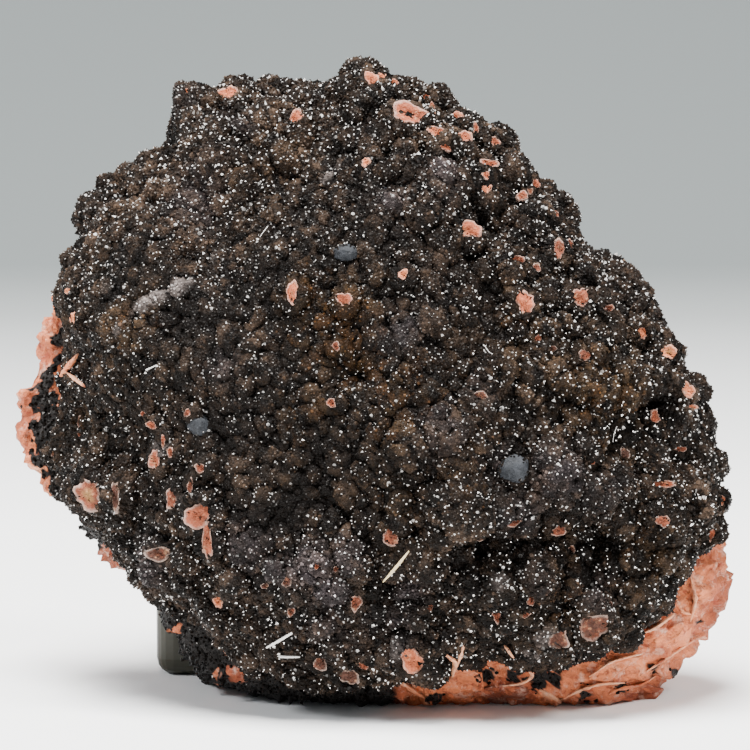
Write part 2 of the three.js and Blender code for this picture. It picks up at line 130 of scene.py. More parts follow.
# Single knobs that stand out: pixel x, pixel y, radius, height, and how much mauve bloom is on them.
LUMPS = [
    (312, 567, 1.7, 2.0, 0.7), (327, 590, 1.4, 1.8, 0.6), (414, 590, 1.2, 1.7, 0.6),
    (398, 622, 1.3, 1.8, 0.3), (325, 627, 1.7, 2.0, 0.2), (288, 572, 1.5, 1.8, 0.5),
    (372, 625, 1.1, 1.5, 0.2), (465, 512, 3.4, 3.2, 0.0), (500, 515, 2.4, 2.6, 0.0),
    (640, 382, 2.2, 2.6, 0.0), (662, 388, 2.3, 2.8, 0.0), (591, 386, 2.2, 2.6, 0.0),
    (540, 577, 2.0, 2.4, 0.1), (492, 592, 2.2, 2.4, 0.0), (524, 610, 2.0, 2.2, 0.0),
    (596, 628, 2.6, 2.4, 0.0), (556, 642, 2.3, 2.2, 0.0), (642, 598, 2.0, 2.2, 0.0),
    (663, 520, 2.0, 2.2, 0.0), (698, 482, 1.8, 1.8, 0.0), (560, 478, 2.4, 2.2, 0.1),
    (605, 492, 2.2, 2.4, 0.1), (440, 320, 1.4, 1.6, 0.0), (500, 365, 2.0, 2.2, 0.0),
    (545, 345, 1.8, 2.0, 0.0), (448, 432, 2.2, 2.0, 0.0), (413, 448, 2.0, 1.8, 0.0),
    (460, 468, 2.0, 1.8, 0.0), (398, 585, 1.2, 1.5, 0.1), (440, 645, 1.9, 1.8, 0.0),
    (470, 622, 2.0, 2.0, 0.0), (280, 640, 1.8, 1.8, 0.0), (345, 640, 1.4, 1.6, 0.1),
    (480, 395, 1.8, 2.0, 0.1), (560, 375, 1.8, 2.0, 0.0), (600, 335, 1.7, 2.0, 0.0),
    (632, 352, 1.6, 2.0, 0.0), (684, 410, 1.6, 1.6, 0.0), (655, 455, 2.0, 2.2, 0.0),
    (620, 560, 1.8, 2.0, 0.0), (96, 188, 0.9, 2.0, 0.0), (106, 185, 0.9, 1.9, 0.0),
    (118, 182, 0.8, 2.6, 0.0), (133, 188, 0.7, 2.0, 0.0), (143, 170, 0.9, 1.6, 0.0),
    (154, 163, 1.3, 1.8, 0.0), (169, 151, 1.3, 1.8, 0.0), (186, 101, 1.1, 2.2, 0.1),
    (204, 99, 0.9, 1.9, 0.0), (250, 97, 0.9, 1.8, 0.0), (268, 92, 0.9, 2.2, 0.0),
    (288, 99, 0.8, 1.6, 0.0), (334, 84, 0.9, 1.8, 0.0), (352, 74, 1.0, 2.2, 0.0),
    (404, 86, 0.8, 2.0, 0.0), (422, 97, 0.7, 1.6, 0.0), (450, 109, 0.8, 1.6, 0.0),
    (505, 152, 1.0, 1.9, 0.0), (514, 166, 0.9, 1.9, 0.0), (524, 178, 0.8, 1.8, 0.0),
    (548, 202, 0.9, 1.8, 0.0), (445, 168, 1.2, 1.9, 0.6), (389, 196, 0.9, 1.5, 0.6),
    (402, 197, 0.6, 1.3, 0.6), (566, 226, 0.9, 1.8, 0.0), (590, 262, 0.9, 1.6, 0.0),
    (618, 290, 0.9, 1.8, 0.0), (640, 306, 0.9, 1.8, 0.0), (62, 268, 0.9, 1.6, 0.0),
    (82, 226, 0.9, 1.8, 0.0), (240, 120, 1.0, 1.6, 0.2), (440, 185, 1.5, 1.8, 0.1),
]

# Tips broken off flat: pixel x, pixel y, width, height, paleness from 0 to 1, core.
BROKEN_TIPS = [
    (228, 93, 2.0, 1.6, 0.7, ""), (296, 116, 1.4, 1.6, 0.6, ""), (372, 77, 1.4, 1.6, 0.7, ""),
    (394, 82, 0.9, 0.6, 0.6, ""), (409, 113, 3.2, 2.6, 0.55, "hole"), (437, 132, 1.7, 1.3, 0.65, ""),
    (463, 137, 1.8, 1.3, 0.65, ""), (446, 147, 1.1, 0.8, 0.55, ""), (457, 115, 1.3, 0.8, 0.65, ""),
    (476, 128, 0.6, 1.1, 0.5, ""), (495, 142, 0.9, 1.0, 0.5, ""), (489, 163, 1.7, 0.9, 0.5, ""),
    (486, 175, 0.9, 0.8, 0.55, ""), (487, 188, 1.0, 0.9, 0.8, ""), (523, 195, 1.0, 1.2, 0.4, ""),
    (424, 97, 1.3, 0.5, 0.5, ""), (432, 106, 0.5, 0.8, 0.5, "yellow"), (429, 113, 1.2, 0.7, 0.95, ""),
    (530, 191, 0.5, 0.8, 0.4, ""), (556, 213, 0.6, 0.9, 0.5, ""), (382, 77, 0.9, 0.8, 0.8, ""),
    (73, 318, 0.7, 1.4, 0.95, ""), (81, 471, 0.6, 0.8, 0.95, ""), (79, 421, 0.4, 1.0, 0.4, ""),
    (54, 453, 0.6, 0.6, 0.4, ""), (66, 435, 0.4, 0.4, 0.6, ""), (68, 291, 0.9, 0.5, 0.95, ""),
    (536, 184, 1.0, 1.0, 0.5, ""), (470, 229, 2.0, 2.0, 0.6, ""), (518, 261, 1.6, 1.0, 0.45, ""),
    (559, 249, 1.2, 2.2, 0.4, ""), (570, 246, 0.7, 1.4, 0.4, ""), (537, 267, 1.0, 0.8, 0.3, ""),
    (525, 302, 2.0, 2.2, 0.6, ""), (581, 297, 1.6, 2.2, 0.45, ""), (609, 308, 1.0, 0.8, 0.35, ""),
    (403, 274, 1.0, 0.9, 0.85, ""), (366, 162, 0.8, 1.0, 0.8, ""), (643, 332, 1.0, 1.4, 0.7, ""),
    (585, 355, 1.4, 1.0, 0.4, ""), (538, 338, 0.8, 0.7, 0.4, ""), (553, 349, 0.8, 0.6, 0.2, ""),
    (669, 352, 1.6, 1.6, 0.95, "yellow"), (686, 390, 1.4, 1.6, 0.85, ""), (687, 407, 2.0, 0.8, 0.8, ""),
    (660, 417, 1.2, 1.2, 0.5, ""), (292, 292, 1.2, 2.0, 0.65, ""), (344, 299, 1.4, 1.4, 0.55, ""),
    (336, 346, 0.8, 0.8, 0.4, ""), (331, 403, 1.0, 0.8, 0.5, ""), (143, 414, 0.5, 0.5, 0.5, ""),
    (151, 425, 1.0, 0.8, 0.6, ""), (187, 413, 0.7, 0.7, 0.4, ""), (163, 441, 0.5, 1.2, 0.6, ""),
    (154, 460, 1.0, 2.2, 0.6, ""), (170, 452, 0.7, 0.9, 0.5, ""), (200, 468, 1.2, 0.8, 0.5, ""),
    (190, 486, 0.6, 1.4, 0.5, ""), (171, 499, 1.2, 1.8, 0.5, ""), (88, 495, 3.2, 2.8, 0.5, "yellow"),
    (115, 496, 1.0, 2.8, 0.4, ""), (198, 516, 2.6, 2.8, 0.65, ""), (207, 541, 1.2, 3.2, 0.6, ""),
    (158, 554, 3.0, 1.4, 0.35, ""), (218, 602, 1.2, 1.0, 0.9, "hole"), (391, 537, 1.8, 1.7, 0.55, ""),
    (287, 582, 1.0, 1.0, 0.4, ""), (356, 603, 1.0, 1.8, 0.55, ""), (291, 612, 0.7, 1.0, 0.5, ""),
    (265, 586, 0.7, 0.7, 0.4, ""), (320, 664, 1.6, 1.4, 0.45, ""), (349, 677, 2.0, 1.8, 0.3, ""),
    (363, 666, 1.2, 0.8, 0.5, ""), (228, 651, 0.8, 0.8, 0.4, ""), (412, 661, 2.4, 2.8, 0.85, ""),
    (430, 608, 0.7, 0.7, 0.5, ""), (513, 522, 1.8, 0.8, 0.5, ""), (480, 537, 0.9, 0.9, 0.4, ""),
    (559, 531, 1.6, 1.0, 0.5, ""), (572, 549, 0.7, 0.7, 0.4, ""), (497, 615, 1.0, 1.4, 0.5, ""),
    (525, 614, 0.9, 0.9, 0.5, ""), (531, 601, 0.9, 0.9, 0.5, ""), (598, 631, 3.0, 3.0, 0.45, ""),
    (559, 640, 2.4, 1.8, 0.4, ""), (537, 664, 3.6, 0.8, 0.75, ""), (610, 605, 0.6, 0.6, 0.5, ""),
    (663, 484, 2.4, 0.8, 0.6, ""), (665, 522, 1.6, 1.2, 0.55, ""), (625, 454, 1.2, 1.2, 0.25, ""),
    (681, 449, 1.2, 0.6, 0.5, ""), (592, 462, 0.6, 0.6, 0.6, ""), (711, 535, 0.8, 1.4, 0.7, ""),
    (722, 500, 0.6, 1.2, 0.85, ""), (317, 566, 0.6, 0.6, 0.7, ""), (336, 569, 0.6, 0.6, 0.5, ""),
    (481, 395, 1.4, 0.8, 0.3, ""), (190, 97, 0.6, 0.6, 0.7, ""),
]
TIP_STAND = 1.9

# Where rust colours the druse, and where a mauve bloom does: pixel x, pixel y, radius, strength.
RUST = [
    (340, 325, 5.0, 1.0), (318, 300, 4.0, 0.8), (360, 362, 4.0, 0.9), (410, 400, 5.5, 0.7),
    (600, 400, 6.0, 0.6), (510, 330, 5.0, 0.4), (120, 330, 5.0, 0.45), (560, 600, 5.0, 0.5),
    (480, 470, 4.0, 0.5), (310, 420, 4.0, 0.6), (250, 180, 5.0, 0.3), (640, 560, 5.0, 0.45),
    (90, 420, 4.0, 0.4), (385, 500, 4.0, 0.4), (300, 480, 4.0, 0.4),
]
BLOOM = [
    (345, 550, 1.4, 0.4), (250, 540, 2.4, 0.3), (440, 430, 2.2, 0.25), (205, 200, 3.0, 0.3),
    (560, 470, 2.2, 0.35), (520, 505, 2.0, 0.3), (225, 365, 1.2, 0.35), (400, 330, 2.0, 0.3),
    (495, 465, 1.6, 0.45), (650, 300, 2.4, 0.3), (160, 560, 2.0, 0.3), (590, 590, 1.8, 0.3),
]

# Where the crystals are pale: pixel x, pixel y, radius, strength.
FROST = [
    (135, 313, 0.8, 0.9), (143, 306, 0.8, 1.0), (151, 300, 0.8, 1.0), (159, 294, 0.9, 1.0),
    (168, 290, 0.9, 1.0), (177, 287, 0.9, 1.0), (186, 285, 0.7, 0.8), (105, 290, 1.1, 0.45),
    (95, 277, 1.0, 0.45), (326, 184, 0.7, 0.8), (72, 291, 0.9, 0.7), (332, 177, 0.8, 1.0),
    (340, 170, 0.8, 0.9), (131, 318, 0.9, 0.6), (74, 316, 1.0, 0.5), (692, 580, 0.9, 0.7),
    (688, 598, 0.9, 0.8), (681, 614, 0.8, 0.6), (170, 449, 0.9, 0.9), (165, 443, 0.7, 0.7),
    (188, 497, 0.9, 0.8), (176, 466, 0.8, 0.6), (214, 258, 1.0, 0.5), (118, 330, 0.9, 0.5),
    (545, 632, 1.2, 0.7), (532, 648, 1.2, 0.6), (400, 640, 1.0, 0.6), (497, 580, 0.9, 0.6),
    (275, 285, 0.8, 0.4), (366, 170, 0.7, 0.5), (455, 122, 1.0, 0.5), (665, 340, 1.2, 0.5),
    (570, 455, 0.7, 0.5), (218, 612, 0.9, 0.5), (240, 560, 1.0, 0.4), (150, 535, 1.0, 0.5),
    (112, 512, 0.9, 0.5), (560, 445, 0.9, 0.4),
]

# Where the crystals are coarse, with the strongest painted glints and, in part as painted light, a paler
# tone: pixel x, pixel y, radius, strength.
COARSE = [
    (200, 190, 9.0, 1.0), (110, 230, 6.0, 1.0), (280, 130, 6.0, 0.8), (440, 130, 5.0, 0.6),
    (690, 490, 4.0, 0.6), (120, 310, 5.0, 0.6), (640, 340, 4.0, 0.5), (560, 380, 5.0, 0.4),
]

# How pale the barite's front is: pixel x, pixel y, radius, paleness from 0 to 1.
BARITE_PATCHES = [
    (722, 597, 1.8, 0.15), (702, 602, 1.6, 0.6), (714, 624, 2.2, 0.2), (690, 640, 1.6, 0.42),
    (680, 655, 1.5, 0.45), (694, 585, 1.0, 0.9), (690, 612, 0.8, 0.85), (670, 672, 1.4, 0.4),
    (650, 690, 1.6, 0.2), (628, 694, 1.6, 0.25), (640, 672, 1.4, 0.6), (610, 698, 1.2, 0.35),
    (560, 692, 1.6, 0.45), (545, 697, 0.8, 0.9), (522, 695, 1.5, 0.2), (497, 700, 1.4, 0.1),
    (505, 685, 1.0, 0.3), (440, 685, 1.8, 0.5), (466, 682, 1.4, 0.45), (425, 692, 1.2, 0.65),
    (400, 690, 1.4, 0.3), (30, 430, 1.8, 0.25), (36, 410, 0.6, 0.9), (36, 440, 0.6, 0.9),
    (38, 468, 0.9, 0.9), (24, 420, 0.9, 0.3), (52, 320, 1.8, 0.35), (48, 352, 1.0, 0.25),
    (28, 400, 1.2, 0.3), (110, 562, 2.4, 0.12), (172, 580, 1.2, 0.4), (236, 674, 1.2, 0.15),
]

# Where the lower left of the barite, dark with druse and painted shade, shows salmon, and, with a radius
# below 0,
# where druse covers its salmon edge: pixel x, pixel y, radius.
CORNER_SPOTS = [
    (112, 562, 2.0), (128, 553, 1.4), (172, 581, 1.0), (158, 553, 1.6), (236, 674, 1.0), (228, 651, 0.6),
    (176, 629, 0.6), (218, 676, 0.6), (140, 585, 0.8),
]
EDGE_DRUSE = [
    (54, 436, -1.6), (58, 456, -1.7), (58, 472, -1.5), (52, 414, -1.2), (44, 388, -0.8), (45, 402, -0.9),
    (48, 378, -0.9), (60, 340, -1.0), (40, 460, -0.8), (34, 424, -0.6), (58, 360, -0.6), (362, 692, -2.0),
    (586, 697, -0.8), (540, 680, -1.0), (674, 672, -0.5), (50, 400, -0.9), (46, 425, -1.1),
    (46, 445, -1.0), (40, 436, -0.7), (36, 402, -0.6), (487, 676, -0.8), (556, 678, -0.8),
    (622, 688, -0.5), (650, 668, -0.5), (700, 622, -0.35), (434, 700, -0.7), (642, 702, -0.6),
    (512, 676, -0.7), (64, 330, -0.7), (54, 368, -0.5),
]

# The lip of the barite's ledge, as shares of the way out and back to its widest line.
LIP_OUT, LIP_BACK = 0.62, 0.3
LEDGE_RINGS = 26

NODULES = ("grey_nodule_left", "grey_nodule_right", "grey_nodule_middle", "grey_nodule_upper")

# The crust's two layers of grains: spacing, height, seed and how far painted shade darkens their creases. The
# crystals' shades follow the marks of the coarse one.
COARSE_GRAINS = (0.95, 0.6, 3.0, 1.0)
FINE_GRAINS = (0.55, 0.26, 8.0, 0.5)

# The rings of the crust's and the barite's smooth hidden sides: share of the dome, points.
CRUST_BACK = ((1.0, 240), (0.84, 120), (0.6, 60), (0.34, 24))
BARITE_CORE = ((0.6, 60), (0.84, 180))
BACK_RINGS = 56

# A broken tip's points round its outline, and its rings.
TIP_SIDES, TIP_RINGS = 24, 6

# The druse's brightness from its darkest shade to its palest, and the brown that stains it.
SHADES = ((0.0, 0.1), (0.35, 0.55), (0.65, 2.0), (0.9, 5.2), (1.0, 7.5))
STAIN = (0.021, 0.0113, 0.0036)

TURN = 2 * math.pi


def chance(n, k):
    """A repeatable number from 0 to 1 for the nth piece and the kth of its properties."""
    s = np.sin(np.asarray(n, float) * 78.233 + k * 37.719) * 43758.5453
    return s - np.floor(s)


def smooth_step(value, low, high):
    """0 below low, 1 above high, and a soft ramp between."""
    t = np.clip((value - low) / (high - low), 0, 1)
    return t * t * (3 - 2 * t)


def from_view(x, z, y):
    """The real x and z of a point that is seen at (x, z) and lies at depth y."""
    v = z - VIEW_HEIGHT
    sin, cos = math.sin(VIEW_ELEVATION), math.cos(VIEW_ELEVATION)
    up = (v * (VIEW_DISTANCE + y * cos) - VIEW_DISTANCE * y * sin) / (VIEW_DISTANCE * cos + v * sin)
    away = y * cos - up * sin
    return x * (VIEW_DISTANCE + away) / VIEW_DISTANCE, up + VIEW_HEIGHT


def to_view(point):
    """Where a point is seen, as x and z in the view."""
    x, y, z = point
    sin, cos = math.sin(VIEW_ELEVATION), math.cos(VIEW_ELEVATION)
    away = y * cos - (z - VIEW_HEIGHT) * sin
    up = y * sin + (z - VIEW_HEIGHT) * cos
    scale = VIEW_DISTANCE / (VIEW_DISTANCE + away)
    return np.array([x * scale, VIEW_HEIGHT + up * scale])


def to_pixel(points):
    """The pixels of the 750 by 750 photograph at which rows of points are seen."""
    x, z = to_view(points.T)
    half = IMAGE_SIZE / 2
    return half + x * PIXELS_PER_MM, half - (z - VIEW_HEIGHT) * PIXELS_PER_MM


def from_pixel(px, py):
    """Where a pixel of the 750 by 750 photograph lies in the view, as x and z."""
    half = IMAGE_SIZE / 2
    return (px - half) / PIXELS_PER_MM, VIEW_HEIGHT + (half - py) / PIXELS_PER_MM


class Loop:
    """A closed outline as a function of the angle round the middle: its radius and its depth."""

    def __init__(self, outline):
        knots = []
        for x, z, y in outline:
            real_x, real_z = from_view(x, z, y)
            dx, dz = real_x - MIDDLE_X, real_z - MIDDLE_Z
            knots.append((math.atan2(dz, dx), math.hypot(dx, dz), y))
        self.angle, self.radius, self.depth = (np.array(column) for column in zip(*sorted(knots)))

    def __call__(self, angle):
        radius = np.interp(angle, self.angle, self.radius, period=TURN)
        depth = np.interp(angle, self.angle, self.depth, period=TURN)
        return radius, depth


crust_loop = Loop(CRUST_RIM)
matrix_loop = Loop(MATRIX_RIM)


def dome_point(angle, share, sunk=0.0):
    """A point of the smooth dome, share 0 at its front and 1 at its rim, sunk below its surface."""
    radius, y = crust_loop(angle)
    tilt = share * math.pi / 2
    reach = (radius - sunk) * np.sin(tilt)
    depth = y - (y - FRONT_Y - sunk) * np.cos(tilt)
    return np.stack([MIDDLE_X + reach * np.cos(angle), depth, MIDDLE_Z + reach * np.sin(angle)], -1)


def dome_normal(angle, share):
    """The outward direction of the smooth dome."""
    radius, y = crust_loop(angle)
    tilt = share * math.pi / 2
    out = np.sin(tilt) / radius
    forward = np.cos(tilt) / (y - FRONT_Y)
    normal = np.stack([out * np.cos(angle), -forward, out * np.sin(angle)], -1)
    return normal / np.linalg.norm(normal, axis=-1, keepdims=True)


def dome_place(point):
    """The angle and share of a point that lies on the dome."""
    dx, dz = point[0] - MIDDLE_X, point[2] - MIDDLE_Z
    angle = math.atan2(dz, dx)
    ratio = min(1.0, math.hypot(dx, dz) / crust_loop(angle)[0])
    return angle, math.asin(ratio) * 2 / math.pi


def dome_seen_at(x, z):
    """The point of the dome that is seen at (x, z)."""
    point = np.array([x, FRONT_Y / 2, z])
    for _ in range(12):
        real_x, real_z = from_view(x, z, point[1])
        point = dome_point(*dome_place((real_x, 0, real_z)))
    return point


def fineness(points):
    """1 in the fine-grained patch and 0 where the crust is coarse."""
    x, z, half_x, half_z = FINE_PATCH
    reach = np.hypot((points[..., 0] - x) / half_x, (points[..., 2] - z) / half_z)
    return 1 - smooth_step(reach, 0.65, 1.15)


def cells(points, spacing, seed, fill=0.8):
    """Rounded grains packed at about this spacing: 1 on a grain's top and 0 in the creases, and its mark."""
    corners = np.floor(points / spacing)
    nearest, marks = np.full(len(points), 9.0), np.zeros(len(points))
    for step in itertools.product((-1, 0, 1), repeat=3):
        corner = corners + np.array(step)
        mark = corner @ np.array([12.9898, 78.233, 37.719]) + seed
        jitter = np.stack([chance(mark, k) for k in (1, 2, 3)], -1)
        away = np.linalg.norm(points / spacing - corner - jitter, axis=1)
        marks = np.where(away < nearest, mark, marks)
        nearest = np.minimum(nearest, away)
    return np.sqrt(np.clip(1 - (nearest / fill) ** 2, 0, 1)), marks


def cell_bumps(points, spacing, seed, fill=0.8):
    """The grains' height alone."""
    return cells(points, spacing, seed, fill)[0]


def rough(points, scale, octaves=3, seed=0.0):
    """Rolling noise of about -1 to 1, with features of the given size in millimetres."""
    shift = Vector((seed, seed * 1.7, seed * 0.3))
    values = [noise.fractal(Vector(p) / scale + shift, 0.9, 2.0, octaves) for p in points]
    return np.array(values)


class Skin:
    """Rings of points, each zipped to the next, so that rings of different counts can join."""

    def __init__(self):
        self.points = []
        self.faces = []
        self.count = 0

    def ring(self, points):
        ids = range(self.count, self.count + len(points))
        self.points.append(np.asarray(points, float))
        self.count += len(points)
        return ids

    def zip(self, inner, outer):
        i = o = 0
        while i < len(inner) or o < len(outer):
            step_out = (o + 1) / len(outer) <= (i + 1) / len(inner)
            if o < len(outer) and (i >= len(inner) or step_out):
                o += 1
                third = outer[o % len(outer)]
                self.faces.append((inner[i % len(inner)], outer[o - 1], third))
            else:
                i += 1
                third = inner[i % len(inner)]
                self.faces.append((inner[i - 1], outer[o % len(outer)], third))

    def cap(self, ring, point, facing_front):
        tip = self.ring([point])[0]
        for n, here in enumerate(ring):
            after = ring[(n + 1) % len(ring)]
            self.faces.append((tip, here, after) if facing_front else (tip, after, here))

    def arrays(self):
        return np.concatenate(self.points), np.array(self.faces)


def angles(count):
    return np.arange(count) * TURN / count


def point_normals(points, faces):
    """The outward direction at each point, from the faces round it."""
    a, b, c = (points[faces[:, k]] for k in range(3))
    face = np.cross(b - a, c - a)
    total = np.zeros_like(points)
    for k in range(3):
        for axis in range(3):
            total[:, axis] += np.bincount(faces[:, k], face[:, axis], len(points))
    return total / (np.linalg.norm(total, axis=1, keepdims=True) + 1e-12)


def new_object(name, points, faces, smooth=True):
    """A mesh object from points in millimetres, at its place in the frame and never below the floor."""
    mesh = bpy.data.meshes.new(name)
    points = np.array(points)
    points[:, 2] = np.maximum(points[:, 2], 0)
    mesh.from_pydata((points + ORIGIN) * MM, [], faces)
    mesh.polygons.foreach_set("use_smooth", [smooth] * len(mesh.polygons))
    mesh.update()
    made = bpy.data.objects.new(name, mesh)
    bpy.context.scene.collection.objects.link(made)
    return made


def give_values(made, name, values, domain="POINT"):
    """Stores one number for each point or face of a mesh."""
    made.data.attributes.new(name, "FLOAT", domain).data.foreach_set("value", values)


def settle(made, material):
    """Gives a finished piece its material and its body."""
    made.data.materials.clear()
    made.data.materials.append(material)
    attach(made, "root")


# Shader sums


class Value:
    """A socket that gives a number, and that sums as a number does."""

    def __init__(self, finish, socket):
        self.finish = finish
        self.socket = socket

    def _sum(self, operation, first, second):
        made = self.finish.node("ShaderNodeMath", {"operation": operation}, {0: first, 1: second})
        return made.value(0)

    def __add__(self, other):
        return self._sum("ADD", self, other)

    __radd__ = __add__

    def __sub__(self, other):
        return self._sum("SUBTRACT", self, other)

    def __rsub__(self, other):
        return self._sum("SUBTRACT", other, self)

    def __mul__(self, other):
        return self._sum("MULTIPLY", self, other)

    __rmul__ = __mul__

    def over(self, low, high):
        """0 below low, 1 above high, and a straight ramp between."""
        sockets = {"Value": self, "From Min": low, "From Max": high}
        return self.finish.node("ShaderNodeMapRange", {"clamp": True}, sockets).value("Result")


class Made:
    """A node, with its outputs by name or number."""

    def __init__(self, finish, node):
        self.finish = finish
        self.node = node

    def value(self, name=0):
        return Value(self.finish, self.node.outputs[name])


class Finish:
    """A material that is built up from nodes."""

    def __init__(self, name, **plain):
        self.material = bpy.data.materials.new(name)
        self.material.use_nodes = True
        self.tree = self.material.node_tree
        self.shader = next(n for n in self.tree.nodes if n.type == "BSDF_PRINCIPLED")
        for socket, value in plain.items():
            self.shader.inputs[socket.replace("_", " ")].default_value = value
        coordinates = self.node("ShaderNodeTexCoord").value("Object")
        scaled = self.node("ShaderNodeVectorMath", {"operation": "SCALE"}, {0: coordinates, "Scale": 1 / MM})
        self.place = scaled.value(0)

    def node(self, kind, settings=None, sockets=None):
        """A node of this type: its settings go in first, then its sockets' values or links."""
        made = self.tree.nodes.new(kind)
        for name, value in (settings or {}).items():
            if name == "stops":
                self._stops(made.color_ramp, value)
            else:
                setattr(made, name, value)
        for name, value in (sockets or {}).items():
            self._feed(made.inputs[name], value)
        return Made(self, made)

    def _feed(self, socket, value):
        if isinstance(value, Value):
            self.tree.links.new(value.socket, socket)
        else:
            socket.default_value = value

    def _stops(self, ramp, stops):
        while len(ramp.elements) < len(stops):
            ramp.elements.new(0.5)
        for element, (position, colour) in zip(ramp.elements, stops):
            element.position = position
            element.color = (*colour, 1)

    def noise(self, size, detail=3, roughness=0.55):
        """Noise from 0 to 1 with features of this size in millimetres."""
        sockets = {
            "Vector": self.place,
            "Scale": 1 / size,
            "Detail": detail,
            "Roughness": roughness,
        }
        return self.node("ShaderNodeTexNoise", {}, sockets).value(0)

    def cells(self, size):
        """Distances in a cell pattern of this size in millimetres."""
        sockets = {"Vector": self.place, "Scale": 1 / size}
        return self.node("ShaderNodeTexVoronoi", {}, sockets).value("Distance")

    def kept(self, name):
        """A number that the mesh holds at each point."""
        return self.node("ShaderNodeAttribute", {"attribute_name": name}).value("Fac")

    def ramp(self, value, *stops):
        """A colour that runs through the stops."""
        return self.node("ShaderNodeValToRGB", {"stops": stops}, {"Fac": value}).value("Color")

    def mix(self, share, first, second):
        """Two colours mixed by a number from 0 to 1."""
        made = self.node("ShaderNodeMix", {"data_type": "RGBA"}, {0: share})
        for index, colour in ((6, first), (7, second)):
            value = (*colour, 1) if isinstance(colour, tuple) else colour
            self._feed(made.node.inputs[index], value)
        return made.value(2)

    def feed(self, **links):
        """Links values to the shader's own sockets."""
        for socket, value in links.items():
            self._feed(self.shader.inputs[socket.replace("_", " ")], value)

    def bump(self, height, strength, distance_mm):
        """Raises the surface by a height field, in the Normal only."""
        sockets = {"Height": height, "Strength": strength, "Distance": distance_mm * MM}
        self._feed(self.shader.inputs["Normal"], self.node("ShaderNodeBump", {}, sockets).value(0))


def shade_ramp(finish, shade, colour):
    """One colour from its darkest shade to its palest."""
    return finish.ramp(shade, *((place, tuple(part * times for part in colour)) for place, times in SHADES))


def druse_finish(name, colour, roughness):
    """Dark quartz in clumps of black, smoky brown and grey, with rusty, mauve and white patches, painted
    shade in its creases and painted glints that glow.
    """
    finish = Finish(name, IOR=1.55, Specular_IOR_Level=0.07, Emission_Strength=3.5)
    rust, bloom, frost = finish.kept("rust"), finish.kept("bloom"), finish.kept("frost")
    tint, glint, deep, spark = (finish.kept(name) for name in ("tint", "glint", "deep", "spark"))
    tone, warm = finish.kept("tone"), finish.kept("warm")
    clump, broad, spots = finish.noise(0.5, 3, 0.7), finish.noise(5.0, 3), finish.noise(2.2, 4, 0.6)
    shade = tint * 0.3 + tone * 0.6 + clump * 0.6 + broad * 0.6 - 0.64
    plain = shade_ramp(finish, shade, colour)
    brown = shade_ramp(finish, shade, STAIN)
    washed = finish.mix(rust, plain, brown)
    ochre = finish.ramp(
        tint, (0.0, (0.014, 0.007, 0.003)), (0.7, (0.06, 0.027, 0.01)), (1.0, (0.15, 0.064, 0.021)))
    mauve = finish.ramp(
        tint, (0.0, (0.03, 0.024, 0.026)), (0.6, (0.1, 0.082, 0.086)), (1.0, (0.27, 0.228, 0.237)))
    white = finish.ramp(tint, (0.0, (0.055, 0.044, 0.04)), (1.0, (0.33, 0.28, 0.26)))
    rusty = (warm * 0.35 + spots * 0.5 + rust * 0.45).over(0.66, 0.84) * (0.5 + rust * 0.3)
    stained = finish.mix(rusty, washed, ochre)
    bloomed = finish.mix(bloom * (0.5 + clump * 0.6), stained, mauve)
    frosted = finish.mix((frost + spots * 0.4 - 0.2).over(0.3, 0.9), bloomed, white)
    # Painted shade: where the deep number is high, in creases and pits, the colour goes near black.
    shaded = finish.mix(deep.over(0.06, 0.62) * 0.96, frosted, (0.0025, 0.0016, 0.0012))
    # Painted glints: marked facets glow by emission, weaker where the painted shade is deep.
    painted_glint = glint * (1 - deep.over(0.3, 0.7)) * spark * (0.5 + clump)
    finish.feed(
        Base_Color=shaded,
        Emission_Color=finish.mix(painted_glint, (0.0, 0.0, 0.0), (1.0, 0.97, 0.93)),
        Roughness=roughness + clump * 0.2,
    )
    return finish


def crystal_material(settings):
    return druse_finish("druse_crystals", settings.druse_colour, 0.24).material


def crust_material(settings):
    finish = druse_finish("druse_bed", settings.druse_colour, 0.45)
    finish.bump(finish.cells(0.3), 0.9, 0.25)
    return finish.material


def salmon(finish, pale):
    """Salmon barite, from brick red to cream, with fine pale grains and dark specks."""
    grain = finish.noise(0.35, 5, 0.7)
    patch = finish.noise(1.6, 4)
    depth = pale * 0.75 + patch * 0.4 + grain * 0.35 - 0.32
    colour = finish.ramp(
        depth, (0.0, (0.08, 0.03, 0.018)), (0.28, (0.4, 0.095, 0.04)), (0.55, (0.8, 0.245, 0.1)),
        (0.8, (0.86, 0.42, 0.24)), (1.0, (0.87, 0.72, 0.59)))
    speck = finish.noise(0.28, 2).over(0.66, 0.72) * finish.noise(2.0, 2).over(0.4, 0.6)
    return finish.mix(speck, colour, (0.035, 0.022, 0.018)), grain


def tip_material():
    finish = Finish("salmon_tips", Specular_IOR_Level=0.3)
    pale, rim, core = finish.kept("pale"), finish.kept("rim"), finish.kept("core")
    colour, grain = salmon(finish, pale - 0.3)
    mottle = finish.noise(0.5, 3)
    fleck = finish.mix(mottle.over(0.58, 0.7) * 0.6, colour, (0.58, 0.3, 0.16))
    edged = finish.mix((rim + mottle * 0.3 - 0.15).over(0.72, 1.0) * 0.6, fleck, (0.56, 0.43, 0.36))
    yellow = finish.mix(core.over(0.6, 1.1) * 0.8, edged, (0.4, 0.22, 0.08))
    # Painted shade: the hole at a tip's core goes near black.
    hollow = finish.mix((0 - core).over(0.3, 0.8), yellow, (0.012, 0.008, 0.007))
    finish.feed(Base_Color=hollow, Roughness=0.5 + grain * 0.3)
    finish.bump(grain + mottle, 1.0, 0.3)
    return finish.material


